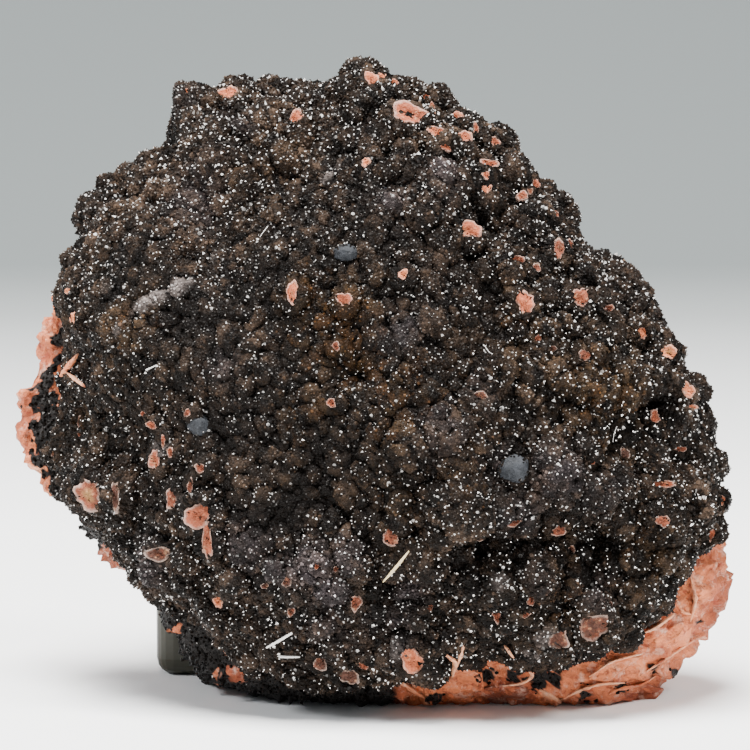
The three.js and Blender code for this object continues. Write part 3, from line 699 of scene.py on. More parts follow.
def barite_material():
    """Salmon barite, near black where druse covers it; in its lower left recess that dark is painted shade
    too.
    """
    finish = Finish("salmon_barite", Specular_IOR_Level=0.3)
    pale, dirt = finish.kept("pale"), finish.kept("dirt")
    colour, grain = salmon(finish, pale)
    cloud = finish.noise(1.1, 4, 0.65)
    patch = finish.noise(1.2, 5, 0.7)
    creamy = finish.mix(patch.over(0.52, 0.68) * 0.5, colour, (0.85, 0.66, 0.54))
    cracked = finish.mix((0 - cloud).over(-0.45, -0.34) * 0.8, creamy, (0.3, 0.05, 0.024))
    # Near black where druse covers the barite; in the lower left recess this dark is painted shade as well.
    covered_and_shaded = finish.mix((dirt + cloud * 0.6 - 0.35).over(0.2, 0.5), cracked, (0.009, 0.0068, 0.006))
    finish.feed(Base_Color=covered_and_shaded, Roughness=0.5 + grain * 0.3)
    finish.bump(grain * 0.5 + cloud + patch * 0.6, 1.0, 0.6)
    return finish.material


def nodule_material():
    finish = Finish("grey_nodule", Specular_IOR_Level=0.25)
    cloud = finish.noise(0.8, 4)
    frost = finish.noise(0.12, 3)
    colour = finish.ramp(cloud, (0.3, (0.008, 0.0092, 0.0115)), (0.7, (0.028, 0.031, 0.037)))
    frosted = finish.mix(frost.over(0.58, 0.72) * 0.4, colour, (0.1, 0.105, 0.114))
    finish.feed(Base_Color=frosted, Roughness=0.5 + cloud * 0.25)
    finish.bump(frost + cloud, 0.8, 0.12)
    return finish.material


def block_material(settings):
    finish = Finish("grey_block", Specular_IOR_Level=0.3, Coat_Weight=0.05, Coat_Roughness=0.25)
    cloud = finish.noise(9.0, 5, 0.6)
    scuff = finish.noise(0.5, 3)
    colour = finish.mix(cloud, tuple(settings.block_colour), (0.04, 0.038, 0.024))
    scuffed = finish.mix(scuff * 0.25, colour, (0.1, 0.097, 0.074))
    finish.feed(Base_Color=scuffed, Roughness=0.34 + scuff * 0.2)
    finish.bump(scuff, 0.25, 0.05)
    return finish.material


def straw_material(name, dark, light):
    finish = Finish(name, Specular_IOR_Level=0.4)
    fibre = finish.noise(0.25, 4)
    finish.feed(Base_Color=finish.mix(fibre, dark, light), Roughness=0.45 + fibre * 0.3)
    return finish.material


def stage_material():
    """A pale floor whose colour turns grey as the sheet climbs behind: painted shade where the light falls
    off.
    """
    finish = Finish("studio_sheet", Specular_IOR_Level=0.2)
    split = finish.node("ShaderNodeSeparateXYZ", {}, {0: finish.place})
    # Painted shade: greyer up the wall, and a little with height.
    climb = split.value("Y").over(105, 405) * 0.92 + split.value("Z").over(0, 80) * 0.045
    finish.feed(Base_Color=finish.mix(climb, (0.98, 0.985, 0.985), (0.15, 0.171, 0.173)), Roughness=0.7)
    return finish.material


# The crust


def grid_place(angle, share):
    """The nearest corner of the solids' own mesh, where each large knob has its peak."""
    k = np.maximum(1, np.round(share * SOLID_RINGS))
    step = TURN / (6 * k)
    return np.round(angle / step) * step, k / SOLID_RINGS


def large_knobs():
    """The knobs that the solids have too, taller where the crust is coarse: middle, radius and height."""
    i = np.arange(KNOB_COUNT)
    cover = (i + 0.2 + 0.9 * chance(i, 1)) / KNOB_COUNT
    angle = i * math.pi * (3 - math.sqrt(5)) + (chance(i, 2) - 0.5) * 0.9 / np.sqrt(i + 1)
    share = np.minimum(0.985, np.arccos(np.clip(1 - cover, -1, 1)) * 2 / math.pi)
    centre = dome_point(*grid_place(angle, share))
    size = 1 - FINE_SHARE * fineness(centre)
    radius = KNOB_RADIUS * size * (0.7 + 0.55 * chance(i, 3))
    height = KNOB_HEIGHT * size * size * (0.45 + 0.85 * chance(i, 4))
    taller = 0.7 + 0.55 * (1 - fineness(centre))
    return centre, radius * 0.72, height * taller


relief_feet = [(dome_seen_at(x, z), radius, height) for x, z, radius, height in RELIEF]


def swell(points):
    """The broad hollows and swells of the crusted face."""
    base = np.zeros(len(points))
    for foot, radius, height in relief_feet:
        away = np.linalg.norm(points - foot, axis=1) / radius
        base += height * np.exp(-away ** 2)
    return base


def seat(px, py, lift):
    """The dome's place that, once lifted off it by so much, is seen at this pixel."""
    target = from_pixel(px, py)
    aim = np.array(target)
    for _ in range(4):
        foot = dome_seen_at(*aim)
        turn, share = (np.array([value]) for value in dome_place(foot))
        raised = foot + dome_normal(turn, share)[0] * (lift + swell(foot[None])[0])
        aim += target - to_view(raised)
    return foot


def seen_spots(spots, lift=0.0):
    """Spots given by pixel, as places on the dome with the rest of their values."""
    return [(seat(px, py, lift), rest) for px, py, *rest in spots]


def spread(points, spots):
    """How strongly each point is under a list of soft round spots."""
    total = np.zeros(len(points))
    for centre, (radius, strength) in spots:
        away = np.linalg.norm(points - centre, axis=1) / radius
        total = np.maximum(total, strength * np.exp(-away ** 2))
    return total


def tip_spots():
    """Each broken tip: its foot, width and height, its own and its knob's stand, and its looks."""
    spots = []
    for px, py, width, height, *looks in BROKEN_TIPS:
        steep = math.sin(dome_place(seat(px, py, TIP_STAND - KNOB_MEAN))[1] * math.pi / 2)
        stand = TIP_STAND + 0.42 * height * steep
        knob = stand + 0.3 + 0.35 * height * steep
        spots.append((seat(px, py, stand - KNOB_MEAN), (width, height, stand, knob, *looks)))
    return spots


def tip_frame(foot, stand):
    """The middle of a broken tip and its three directions: across, up and out."""
    turn, share = dome_place(foot)
    out = dome_normal(np.array([turn]), np.array([share]))[0]
    facing = out + np.array([0.0, -1.5, 0.2])
    facing /= np.linalg.norm(facing)
    across = np.cross([0.0, 0.0, 1.0], -facing)
    across /= np.linalg.norm(across)
    lift = stand - KNOB_MEAN + swell(foot[None])[0]
    return foot + out * lift, across, np.cross(facing, across), facing


def cut_tips(points, tips):
    """Cuts the crust flat under each tip, and says where it is bare and where it is fringed."""
    bare, fringe = np.zeros(len(points)), np.zeros(len(points))
    for foot, (width, height, stand, *_) in tips:
        centre, across, up, facing = tip_frame(foot, stand)
        near = np.flatnonzero(np.abs(points - centre).max(axis=1) < 4)
        offset = points[near] - centre
        reach = np.hypot(offset @ across / (width / 2 + 0.08), offset @ up / (height / 2 + 0.08))
        ahead = offset @ facing + 0.14
        held = (1 - smooth_step(reach, 1.0, 1.5)) * (ahead > 0)
        points[near] -= np.outer(ahead * held, facing)
        close = ahead > -1.2
        bare[near] = np.maximum(bare[near], (1 - smooth_step(reach, 0.9, 1.08)) * close)
        fringe[near] = np.maximum(fringe[near], (1 - smooth_step(reach, 1.1, 1.3)) * close)
    return bare, fringe


def wander(points):
    """The points, shifted to and fro a little, so that nothing round stays quite round."""
    slow = np.sin(points[:, [2, 0, 1]] * 1.3)
    return points + 0.42 * np.sin(points[:, [1, 2, 0]] * 2.1 + 1.3 * slow)


lump_feet = seen_spots(LUMPS, 1.0)

def crust_stand(points, tips):
    """How far the knobs and swells stand out from the smooth dome, and how deep a crease is, for the painted
    shade that darkens it.
    """
    base = swell(points)
    fine = fineness(points)
    loose = wander(points)
    knob = np.zeros(len(points))
    lumps = [(centre, radius, height) for centre, (radius, height, _) in lump_feet]
    for centre, radius, height in [*zip(*large_knobs()), *lumps]:
        away = np.linalg.norm(loose - centre, axis=1) / radius
        near = away < 1
        knob[near] = np.maximum(knob[near], height * np.sqrt(1 - away[near] ** 2))
    small = cell_bumps(loose, 1.7, 11.0, 0.75)
    knob = np.maximum(knob, small * (0.5 + 1.0 * cell_bumps(points, 4.3, 5.0)) * (1 - 0.55 * fine))
    for centre, (width, height, _, top, *_) in tips:
        spans = np.array([width, (width + height) / 2, height]) * 0.72 + 0.2
        away = np.linalg.norm((points - centre) / spans, axis=1)
        near = away < 1
        knob[near] = np.maximum(knob[near], top * np.sqrt(1 - away[near] ** 2))
    deep = 1 - knob / (1.5 - 0.9 * fine)
    # Pits sink the surface and are marked deep, for painted shade.
    for centre, (radius, depth) in seen_spots(PITS):
        pit = np.exp(-(np.linalg.norm(points - centre, axis=1) / radius) ** 4)
        base -= depth * pit
        deep = np.maximum(deep, pit)
    return np.maximum(base + knob - KNOB_MEAN, -DEEPEST), np.clip(deep, 0, 1)


def crust_arrays(rings):
    """The crust as rings on the dome, knobbed outside and smooth inside."""
    skin = Skin()
    places = [(angles(6 * k), np.full(6 * k, k / rings)) for k in range(1, rings + 1)]
    ids = [skin.ring(dome_point(*place)) for place in places]
    front = dome_point(np.zeros(1), np.zeros(1))[0]
    skin.cap(ids[0], front, True)
    for inner, outer in zip(ids, ids[1:]):
        skin.zip(inner, outer)
    outside = skin.count
    last = ids[-1]
    for share, count in CRUST_BACK:
        ring = skin.ring(dome_point(angles(count), np.full(count, share), CRUST_THICKNESS))
        skin.zip(last, ring)
        last = ring
    skin.cap(last, dome_point(np.zeros(1), np.zeros(1), CRUST_THICKNESS)[0], False)
    points, faces = skin.arrays()
    turn = np.concatenate([place[0] for place in places] + [np.zeros(1)])
    share = np.concatenate([place[1] for place in places] + [np.zeros(1)])
    return points, faces, turn, share, outside


def shape_crust(settings):
    """The crust's points, faces and the numbers that its materials and crystals read."""
    tips = tip_spots()
    points, faces, turn, share, outside = crust_arrays(settings.crust_rings)
    smooth = points[:outside].copy()
    stand, deep = crust_stand(smooth, tips)
    points[:outside] += dome_normal(turn, share) * stand[:, None]
    bare, fringe = cut_tips(points[:outside], tips)
    fine = fineness(smooth)
    grain_marks = None
    for layer in (COARSE_GRAINS, FINE_GRAINS):
        spacing, height, seed, crease = layer
        normals = point_normals(points, faces)[:outside]
        bumps, marks = cells(wander(points[:outside] * 1.6) / 1.6, spacing, seed)
        points[:outside] += normals * (bumps * height * (1 - bare) * (1 + 0.2 * fine))[:, None]
        # Grain creases count as deep, for painted shade.
        deep = np.maximum(deep, crease * (1 - bumps) ** 1.5 * (1 - bare))
        grain_marks = marks if layer is COARSE_GRAINS else grain_marks
    lumps = [(centre, (radius, bloom)) for centre, (radius, _, bloom) in lump_feet]
    coarse = spread(smooth, seen_spots(COARSE))
    values = {
        "rust": spread(smooth, seen_spots(RUST)),
        "bloom": np.maximum(spread(smooth, seen_spots(BLOOM)), spread(smooth, lumps)),
        "frost": np.maximum(fringe * 0.22, spread(smooth, seen_spots(FROST))),
        "druse": (1 - bare) * smooth_step(points[:outside, 2], 0.5, 0.9),
        # spark: how strong the painted glints are, stronger where coarse and weaker where fine.
        "spark": 1.0 + 0.4 * coarse - 0.25 * fine,
        "grain": 1.05 - 0.12 * fine + 0.25 * coarse,
        # deep: painted shade in creases, lighter where the crystals are coarse.
        "deep": deep * (1 - 0.42 * coarse),
        # tone: a random tone for each coarse grain, raised where the crystals are coarse; in part that is
        # painted light on the upper left that faces up.
        "tone": chance(grain_marks, 7) - 0.12 + 0.28 * coarse,
        "warm": chance(grain_marks, 5),
        "tint": chance(np.arange(outside), 9) * 0.5,
        "glint": np.zeros(outside),
    }
    hidden = np.zeros(len(points) - outside)
    return points, faces, {name: np.concatenate([row, hidden]) for name, row in values.items()}


# The druse, as small crystals spread over the crust by a node tree. Facets that face this way get painted
# glints, a glow in the crystals' material.
PAINTED_GLINT_FROM = (0.05, -0.66, 0.75)


def druse_tree():
    """Spreads six-sided crystal tips over one zone of a surface."""
    tree = bpy.data.node_groups.new("druse", "GeometryNodeTree")
    add = tree.interface.new_socket
    sizes = [("Zone", "NodeSocketFloat"), ("Spacing", "NodeSocketFloat"), ("Width", "NodeSocketFloat"),
             ("Length", "NodeSocketFloat"), ("Lean", "NodeSocketFloat"), ("Glints", "NodeSocketFloat"),
             ("Seed", "NodeSocketInt"), ("Material", "NodeSocketMaterial")]
    add("Geometry", in_out="INPUT", socket_type="NodeSocketGeometry")
    for name, kind in sizes:
        add(name, in_out="INPUT", socket_type=kind)
    add("Geometry", in_out="OUTPUT", socket_type="NodeSocketGeometry")
    given = tree.nodes.new("NodeGroupInput")
    result = tree.nodes.new("NodeGroupOutput")

    def node(kind, settings=None, sockets=None):
        made = tree.nodes.new(kind)
        for name, value in (settings or {}).items():
            setattr(made, name, value)
        for name, value in (sockets or {}).items():
            if isinstance(value, bpy.types.NodeSocket):
                tree.links.new(value, made.inputs[name])
            else:
                made.inputs[name].default_value = value
        return made

    def named(name):
        made = node("GeometryNodeInputNamedAttribute", {"data_type": "FLOAT"}, {"Name": name})
        return made.outputs["Attribute"]

    def random(low, high, salt):
        seed = node("FunctionNodeIntegerMath", {"operation": "ADD"}, {0: given.outputs["Seed"], 1: salt})
        made = node("FunctionNodeRandomValue", {"data_type": "FLOAT"})
        floats = [s for s in made.inputs if s.type == "VALUE" and s.enabled]
        for socket, value in zip(floats, (low, high)):
            if isinstance(value, bpy.types.NodeSocket):
                tree.links.new(value, socket)
            else:
                socket.default_value = value
        tree.links.new(seed.outputs[0], made.inputs["Seed"])
        return next(s for s in made.outputs if s.type == "VALUE" and s.enabled)

    def times(first, second):
        return node("ShaderNodeMath", {"operation": "MULTIPLY"}, {0: first, 1: second}).outputs[0]

    here = node("FunctionNodeCompare", {"data_type": "FLOAT", "operation": "EQUAL"})
    floats = [s for s in here.inputs if s.type == "VALUE" and s.enabled]
    tree.links.new(named("zone"), floats[0])
    tree.links.new(given.outputs["Zone"], floats[1])
    floats[2].default_value = 0.25
    spread_out = node("GeometryNodeDistributePointsOnFaces", {"distribute_method": "POISSON"}, {
        "Mesh": given.outputs["Geometry"],
        "Selection": here.outputs[0],
        "Distance Min": given.outputs["Spacing"],
        "Density Max": 3.0e7,
        "Density Factor": named("druse"),
        "Seed": given.outputs["Seed"],
    })
    cone = node("GeometryNodeMeshCone", {"fill_type": "NGON"}, {
        "Vertices": 6,
        "Radius Top": 0.0,
        "Radius Bottom": given.outputs["Width"],
        "Depth": given.outputs["Length"],
    })
    back = times(given.outputs["Lean"], -1.0)
    lean = node("ShaderNodeCombineXYZ", {}, {
        0: random(back, given.outputs["Lean"], 1),
        1: random(back, given.outputs["Lean"], 2),
        2: random(0.0, TURN, 3),
    })
    leaning = node("FunctionNodeEulerToRotation", {}, {0: lean.outputs[0]})
    turned = node("FunctionNodeRotateRotation", {"rotation_space": "LOCAL"}, {
        "Rotation": spread_out.outputs["Rotation"],
        "Rotate By": leaning.outputs[0],
    })
    odds = random(0.0, 1.0, 4)
    swelling = node("ShaderNodeMapRange", {}, {
        "Value": times(odds, times(odds, odds)), "To Min": 0.7, "To Max": 1.6})
    size = times(swelling.outputs[0], named("grain"))
    longer = times(size, random(0.8, 1.5, 5))
    scale = node("ShaderNodeCombineXYZ", {}, {0: size, 1: size, 2: longer})
    placed = node("GeometryNodeInstanceOnPoints", {}, {
        "Points": spread_out.outputs["Points"],
        "Instance": cone.outputs["Mesh"],
        "Rotation": turned.outputs[0],
        "Scale": scale.outputs[0],
    })
    tinted = node("GeometryNodeStoreNamedAttribute", {"data_type": "FLOAT", "domain": "INSTANCE"}, {
        "Geometry": placed.outputs["Instances"], "Name": "tint", "Value": random(0.0, 1.0, 6)})
    marked = node("GeometryNodeStoreNamedAttribute", {"data_type": "FLOAT", "domain": "INSTANCE"}, {
        "Geometry": tinted.outputs[0], "Name": "flash", "Value": random(-0.03, 0.97, 8)})
    real = node("GeometryNodeRealizeInstances", {}, {"Geometry": marked.outputs[0]})
    # Painted glints: a random share of the facets that face the glint direction get a glint number, which the
    # crystals' material turns into glow.
    facing = node("ShaderNodeVectorMath", {"operation": "DOT_PRODUCT"}, {
        0: node("GeometryNodeInputNormal").outputs[0], 1: PAINTED_GLINT_FROM})
    lit = node("ShaderNodeMapRange", {}, {
        "Value": facing.outputs["Value"], "From Min": 0.3, "From Max": 0.75})
    either = node("ShaderNodeMath", {"operation": "MAXIMUM"}, {0: random(0.0, 1.0, 7), 1: named("flash")})
    quiet = node("ShaderNodeMath", {"operation": "SUBTRACT"}, {0: 1.0, 1: given.outputs["Glints"]})
    flashing = node("ShaderNodeMapRange", {}, {
        "Value": either.outputs[0], "From Min": quiet.outputs[0], "From Max": 0.99}).outputs[0]
    glinting = node("GeometryNodeStoreNamedAttribute", {"data_type": "FLOAT", "domain": "FACE"}, {
        "Geometry": real.outputs[0], "Name": "glint",
        "Value": times(times(flashing, flashing), lit.outputs[0])})
    coated = node("GeometryNodeSetMaterial", {}, {
        "Geometry": glinting.outputs[0], "Material": given.outputs["Material"]})
    tree.links.new(coated.outputs[0], result.inputs[0])
    return tree


def grow_druse(base, name, material, settings, zone=0, spacing=1.0, width=1.0, glints=1.0, salt=0):
    """Crystals on one zone of a surface, as a plain mesh piece of its own."""
    tree = bpy.data.node_groups.get("druse") or druse_tree()
    ids = {item.name: item.identifier for item in tree.interface.items_tree if item.in_out == "INPUT"}
    values = {
        "Zone": float(zone),
        "Spacing": settings.crystal_spacing * spacing,
        "Width": settings.crystal_width * width,
        "Length": settings.crystal_length,
        "Lean": settings.crystal_lean,
        "Glints": settings.glint_share * glints,
        "Seed": settings.seed + salt,
        "Material": material,
    }
    host = bpy.data.objects.new(name + "_host", base.data)
    bpy.context.scene.collection.objects.link(host)
    modifier = host.modifiers.new("druse", "NODES")
    modifier.node_group = tree
    for socket, value in values.items():
        modifier[ids[socket]] = value
    depsgraph = bpy.context.evaluated_depsgraph_get()
    mesh = bpy.data.meshes.new_from_object(host.evaluated_get(depsgraph))
    bpy.data.objects.remove(host)
    mesh.name = name
    mesh.polygons.foreach_set("use_smooth", [False] * len(mesh.polygons))
    made = bpy.data.objects.new(name, mesh)
    bpy.context.scene.collection.objects.link(made)
    settle(made, material)


ZONES = ("upper_right", "upper_left", "lower_left", "lower_right")


def face_zones(points, faces):
    """Which quarter of the face each triangle lies in, counted round from the upper right."""
    middle = points[faces].mean(axis=1)
    turn = np.arctan2(middle[:, 2] - 31.0, middle[:, 0]) % TURN
    return np.floor(turn / (TURN / 4))


# Broken tips


def tip_arrays():
    """All broken tips as rough plates of uneven outline, with their paleness, rim and core."""
    points, faces = [], []
    values = {"pale": [], "rim": [], "core": []}
    start = 0
    sides, rings = TIP_SIDES, TIP_RINGS
    turn = angles(sides)
    for n, (foot, (width, height, stand, _, pale, core)) in enumerate(tip_spots()):
        centre, across, up, facing = tip_frame(foot, stand)
        uneven = 1 + 0.18 * np.sin(2 * turn + 6 * chance(n, 1)) + 0.13 * np.sin(3 * turn + 6 * chance(n, 2))
        uneven += 0.07 * np.sin(7 * turn + 6 * chance(n, 5))
        uneven += 0.1 * (chance(np.arange(sides) + 31 * n, 3) - 0.5)
        depth = {"": 0.0, "yellow": 0.0, "hole": 0.4}[core]
        heart = {"": 0.0, "yellow": 1.3, "hole": -0.9}[core]
        steps = [(k / rings, 0.0) for k in range(1, rings + 1)] + [(1.0, 0.35), (0.9, 1.4)]
        skin = Skin()
        ids = []
        for k, (share, sink) in enumerate(steps):
            flat_x = np.cos(turn) * uneven * share * width / 2
            flat_y = np.sin(turn) * uneven * share * height / 2
            lift = (chance(np.arange(sides) + 17 * n + 97 * k, 4) - 0.5) * 0.2 - sink
            lift += 0.12 * np.sin(5 * flat_x / width + 4 * flat_y + n) - depth * max(0.0, 1 - 4.5 * share)
            row = centre + np.outer(flat_x, across) + np.outer(flat_y, up) + np.outer(lift, facing)
            ids.append(skin.ring(row))
            values["rim"] += [share if k < rings else 1.0] * sides
            values["core"] += [max(0.0, 1 - share * (3.5 if heart < 0 else 1.0)) * heart] * sides
        for inner, outer in zip(ids, ids[1:]):
            skin.zip(inner, outer)
        skin.cap(ids[0], centre - facing * depth, True)
        skin.cap(ids[-1], centre - facing * 1.5, False)
        values["rim"] += [0.0, 1.0]
        values["core"] += [heart, 0.0]
        piece_points, piece_faces = skin.arrays()
        values["pale"] += [pale - 0.15 * smooth_step(-foot[2], -36, -22)] * len(piece_points)
        points.append(piece_points)
        faces.append(piece_faces + start)
        start += len(piece_points)
    return np.concatenate(points), np.concatenate(faces), values


# The barite


def rock_relief(points):
    """The lumps and broken steps of the barite, as on the solids."""
    x, y, z = points.T
    lump = np.sin(x * 0.31 + z * 0.17) * np.cos(z * 0.29 - x * 0.11) * np.cos(y * 0.3)
    upright = np.abs(np.sin(x * 0.83 + 1.3 * np.sin(z * 0.41)))
    level = np.abs(np.sin(z * 0.97 + y * 0.6))
    return 0.9 * lump + 0.8 * (upright + level - 1.2)


def matrix_side(turn, share):
    """The barite's outside, share 0 at its widest line and 1 at the middle of its back."""
    radius, y = matrix_loop(turn)
    tilt = share * math.pi / 2
    reach = radius * np.cos(tilt) ** 0.7
    points = np.stack([
        MIDDLE_X + reach * np.cos(turn),
        y + (BACK_Y - y) * np.sin(tilt) ** 0.9,
        MIDDLE_Z + reach * np.sin(turn),
    ], -1)
    out = np.stack([np.cos(turn) * np.cos(tilt), np.sin(tilt), np.sin(turn) * np.cos(tilt)], -1)
    return points + out * (rock_relief(points) * np.minimum(1, 0.35 + share))[:, None]


def ledge(turn, share):
    """The barite's ledge, from under the crust over its lip to its widest line."""
    full = np.ones(len(turn))
    rim, wide = dome_point(turn, full), matrix_side(turn, full * 0)
    under = dome_point(turn, full, CRUST_THICKNESS + TOUCH_GAP) + np.array([0, TOUCH_GAP, 0])
    edge = dome_point(turn, full, 0.5) + np.array([0, TOUCH_GAP + 0.1, 0])
    lip = rim + (wide - rim) * np.array([LIP_OUT, LIP_BACK, LIP_OUT])
    lip[:, 1] = np.maximum(lip[:, 1], rim[:, 1] + TOUCH_GAP)
    stops, corners = (0.0, 0.2, 0.7, 1.0), (under, edge, lip, wide)
    parts = [np.interp(share, stops, np.eye(4)[n]) for n in range(4)]
    return sum(part[..., None] * corner for part, corner in zip(parts, corners))


def face_grid():
    """Points all over the crust and the barite's ledge, and where each of them is seen."""
    turn, share = (grid.ravel() for grid in np.meshgrid(angles(720), np.linspace(0.02, 1, 90)))
    crust = dome_point(turn, share)
    crust += dome_normal(turn, share) * (swell(crust) + 0.5)[:, None]
    points = np.concatenate([crust, ledge(turn, share)])
    return points, to_view(points.T)


def seen_point(grid, px, py, lift):
    """A point that is seen at this pixel and stands so far in front of what lies behind it."""
    points, (x, z) = grid
    aim = from_pixel(px, py)
    away = np.hypot(x - aim[0], z - aim[1])
    depth = points[away < max(0.3, away.min() + 0.01), 1].min() - lift
    real_x, real_z = from_view(*aim, depth)
    return np.array([real_x, depth, real_z])


def shape_matrix(settings):
    """The barite: a hidden dome, the ledge round the crust's rim, and the broken back."""
    count = settings.matrix_points
    sunk = CRUST_THICKNESS + TOUCH_GAP
    skin = Skin()
    last = skin.ring(dome_point(angles(24), np.full(24, 0.34), sunk))
    skin.cap(last, dome_point(np.zeros(1), np.zeros(1), sunk)[0], True)
    for share, ring_count in BARITE_CORE:
        ring = skin.ring(dome_point(angles(ring_count), np.full(ring_count, share), sunk))
        skin.zip(last, ring)
        last = ring
    first = skin.count
    for share in np.linspace(0, 1, LEDGE_RINGS, endpoint=False):
        ring = skin.ring(ledge(angles(count), share))
        skin.zip(last, ring)
        last = ring
    for share in np.linspace(0, 1, BACK_RINGS)[:-1]:
        size = max(24, int(count * math.cos(share * math.pi / 2) ** 0.8))
        ring = skin.ring(matrix_side(angles(size), np.full(size, share)))
        skin.zip(last, ring)
        last = ring
    skin.cap(last, matrix_side(np.zeros(1), np.ones(1))[0], False)
    points, faces = skin.arrays()
    shown = points[first:]
    normals = point_normals(points, faces)[first:]
    crag = np.clip(1 - np.abs(rough(shown, 3.4, 4, 4.0)) * 2.2, 0, 1) ** 2
    away = smooth_step(shown[:, 1], 4.0, 9.0)
    lift = (0.75 + 0.3 * away) * crag + (0.6 - 0.4 * away) * rough(shown, 1.3, 4, 9.0)
    lift += (0.35 - 0.25 * away) * cell_bumps(shown, 1.1, 2.0)
    held = smooth_step(np.arange(len(shown)), count * 3, count * 7)
    points[first:] = shown + normals * ((lift - 0.2) * held)[:, None]
    pixels = to_pixel(points)
    front = 1 - smooth_step(points[:, 1], 8.0, 12.0)
    pale = 0.42 + 0.25 * np.concatenate([np.zeros(first), crag * away])
    for px, py, radius, value in BARITE_PATCHES:
        reach = np.hypot(pixels[0] - px, pixels[1] - py) / PIXELS_PER_MM / radius
        pale += (value - pale) * np.exp(-reach ** 2) * front
    pale += 0.08 * (1 - smooth_step(points[:, 2], 3.0, 9.0))
    # The lower left recess is dark: druse on it and painted shade over it. The spots open salmon in it and
    # lay druse along the edges.
    corner = (1 - smooth_step(pixels[0], 370, 415)) * smooth_step(pixels[1], 482, 520) * front
    ragged = 1 + 0.7 * np.concatenate([np.zeros(first), rough(shown, 0.8, 3, 5.0)])
    for px, py, radius in (*CORNER_SPOTS, *EDGE_DRUSE):
        reach = np.hypot(pixels[0] - px, pixels[1] - py) / PIXELS_PER_MM / abs(radius) * ragged
        corner += ((radius < 0) - corner) * np.exp(-reach ** 4) * front
    values = {
        "pale": pale,
        "dirt": corner,
        "druse": smooth_step(corner, 0.45, 0.7) * smooth_step(points[:, 2], 0.4, 0.8),
        # Painted shade on the crystals in the dark corner.
        "deep": corner * 0.5,
        "grain": np.full(len(points), 1.15),
        "spark": np.full(len(points), 0.25),
        "tone": chance(np.arange(len(points)), 3) * 0.6 - 0.2,
    }
    return points, faces, values


def slab_arrays(grid, corners, lift, thickness):
    """A rough plate with this outline as seen, standing so far in front of what carries it."""
    outline = np.array([seen_point(grid, px, py, lift) for px, py in corners])
    hub = seen_point(grid, *np.mean(corners, axis=0), lift)
    steps = np.linspace(0, len(outline), 30, endpoint=False)
    whole = np.arange(len(outline) + 1)
    edge = np.stack([np.interp(steps, whole, np.append(outline[:, k], outline[0, k])) for k in range(3)], -1)
    skin = Skin()
    ids = []
    rings = [(k / 7, 0.0) for k in range(1, 8)] + [(1.0, 0.6), (0.85, 1.0)]
    for n, (share, sink) in enumerate(rings):
        ring = hub + (edge - hub) * share
        ring[:, 1] += (chance(np.arange(30) + 31 * n, lift + hub[0]) - 0.5) * 0.2 + thickness * sink
        ring[:, 1] += 0.2 * np.sin(ring[:, 0] * 1.9 + ring[:, 2] * 1.3)
        ids.append(skin.ring(ring))
    skin.cap(ids[0], hub, True)
    for inner, outer in zip(ids, ids[1:]):
        skin.zip(inner, outer)
    skin.cap(ids[-1], hub + np.array([0, thickness, 0]), False)
    return skin.arrays()


def joined(parts):
    """Several point and face arrays as one, with the number of points in each."""
    starts = np.cumsum([0] + [len(points) for points, _ in parts])
    faces = [faces + start for (_, faces), start in zip(parts, starts)]
    return np.concatenate([points for points, _ in parts]), np.concatenate(faces), np.diff(starts)


# Small loose things caught on the druse


def sweep_arrays(spine, across, deep, uneven=0.3, sides=10):
    """A tapering, uneven strand or blade along points: its half widths, and their ratio to its depth."""
    spine = np.asarray(spine, float)
    steps = np.linspace(0, len(spine) - 1, 20)
    whole = np.arange(len(spine))
    smooth = np.stack([np.interp(steps, whole, spine[:, k]) for k in range(3)], -1)
    for _ in range(3):
        smooth[1:-1] = (smooth[:-2] + 2 * smooth[1:-1] + smooth[2:]) / 4
    width = np.interp(steps, np.linspace(0, len(spine) - 1, len(across)), across)
    turn = angles(sides)
    skin = Skin()
    ids = []
    for n, point in enumerate(smooth):
        along = smooth[min(n + 1, len(smooth) - 1)] - smooth[max(n - 1, 0)]
        along /= np.linalg.norm(along)
        side = np.cross(along, [0.0, -1.0, 0.2])
        side /= np.linalg.norm(side)
        front = np.cross(side, along)
        wide = np.outer(np.cos(turn) * width[n] * (1 - uneven / 2 + uneven * chance(n, 3)), side)
        ids.append(skin.ring(point + wide + np.outer(np.sin(turn) * deep * width[n], front)))
    for inner, outer in zip(ids, ids[1:]):
        skin.zip(inner, outer)
    skin.cap(ids[0], smooth[0], True)
    skin.cap(ids[-1], smooth[-1], False)
    return skin.arrays()


def strand_arrays(seen_points, radii):
    """A strand along points given by pixel and height above the dome."""
    spine = []
    for px, py, lift in seen_points:
        foot = seat(px, py, lift)
        turn, share = (np.array([value]) for value in dome_place(foot))
        spine.append(foot + dome_normal(turn, share)[0] * (lift + swell(foot[None])[0]))
    return sweep_arrays(spine, radii, 0.55)


STRANDS = {
    "straw_splinter": ([(383, 582, 2.5), (393, 571, 3.0), (402, 560, 3.1), (409, 551, 2.9)],
                       [0.07, 0.15, 0.13, 0.05]),
    "pale_sliver": ([(292, 633, 2.4), (277, 642, 2.2), (262, 650, 1.9)], [0.12, 0.14, 0.06]),
    "pale_sliver_branch": ([(264, 650, 1.9), (281, 657, 1.9), (300, 657, 1.7)], [0.06, 0.13, 0.08]),
    "white_needle": ([(146, 370, 1.6), (157, 365, 1.9)], [0.09, 0.04]),
    "fine_hair": ([(260, 237, 1.4), (264, 231, 1.9), (268, 226, 1.5)], [0.035, 0.03]),
    "curved_hair": ([(484, 345, 1.4), (489, 352, 1.9), (498, 359, 1.5)], [0.03, 0.025]),
    "lower_hair": ([(613, 441, 1.6), (614, 434, 2.0), (617, 426, 1.6)], [0.035, 0.03]),
}

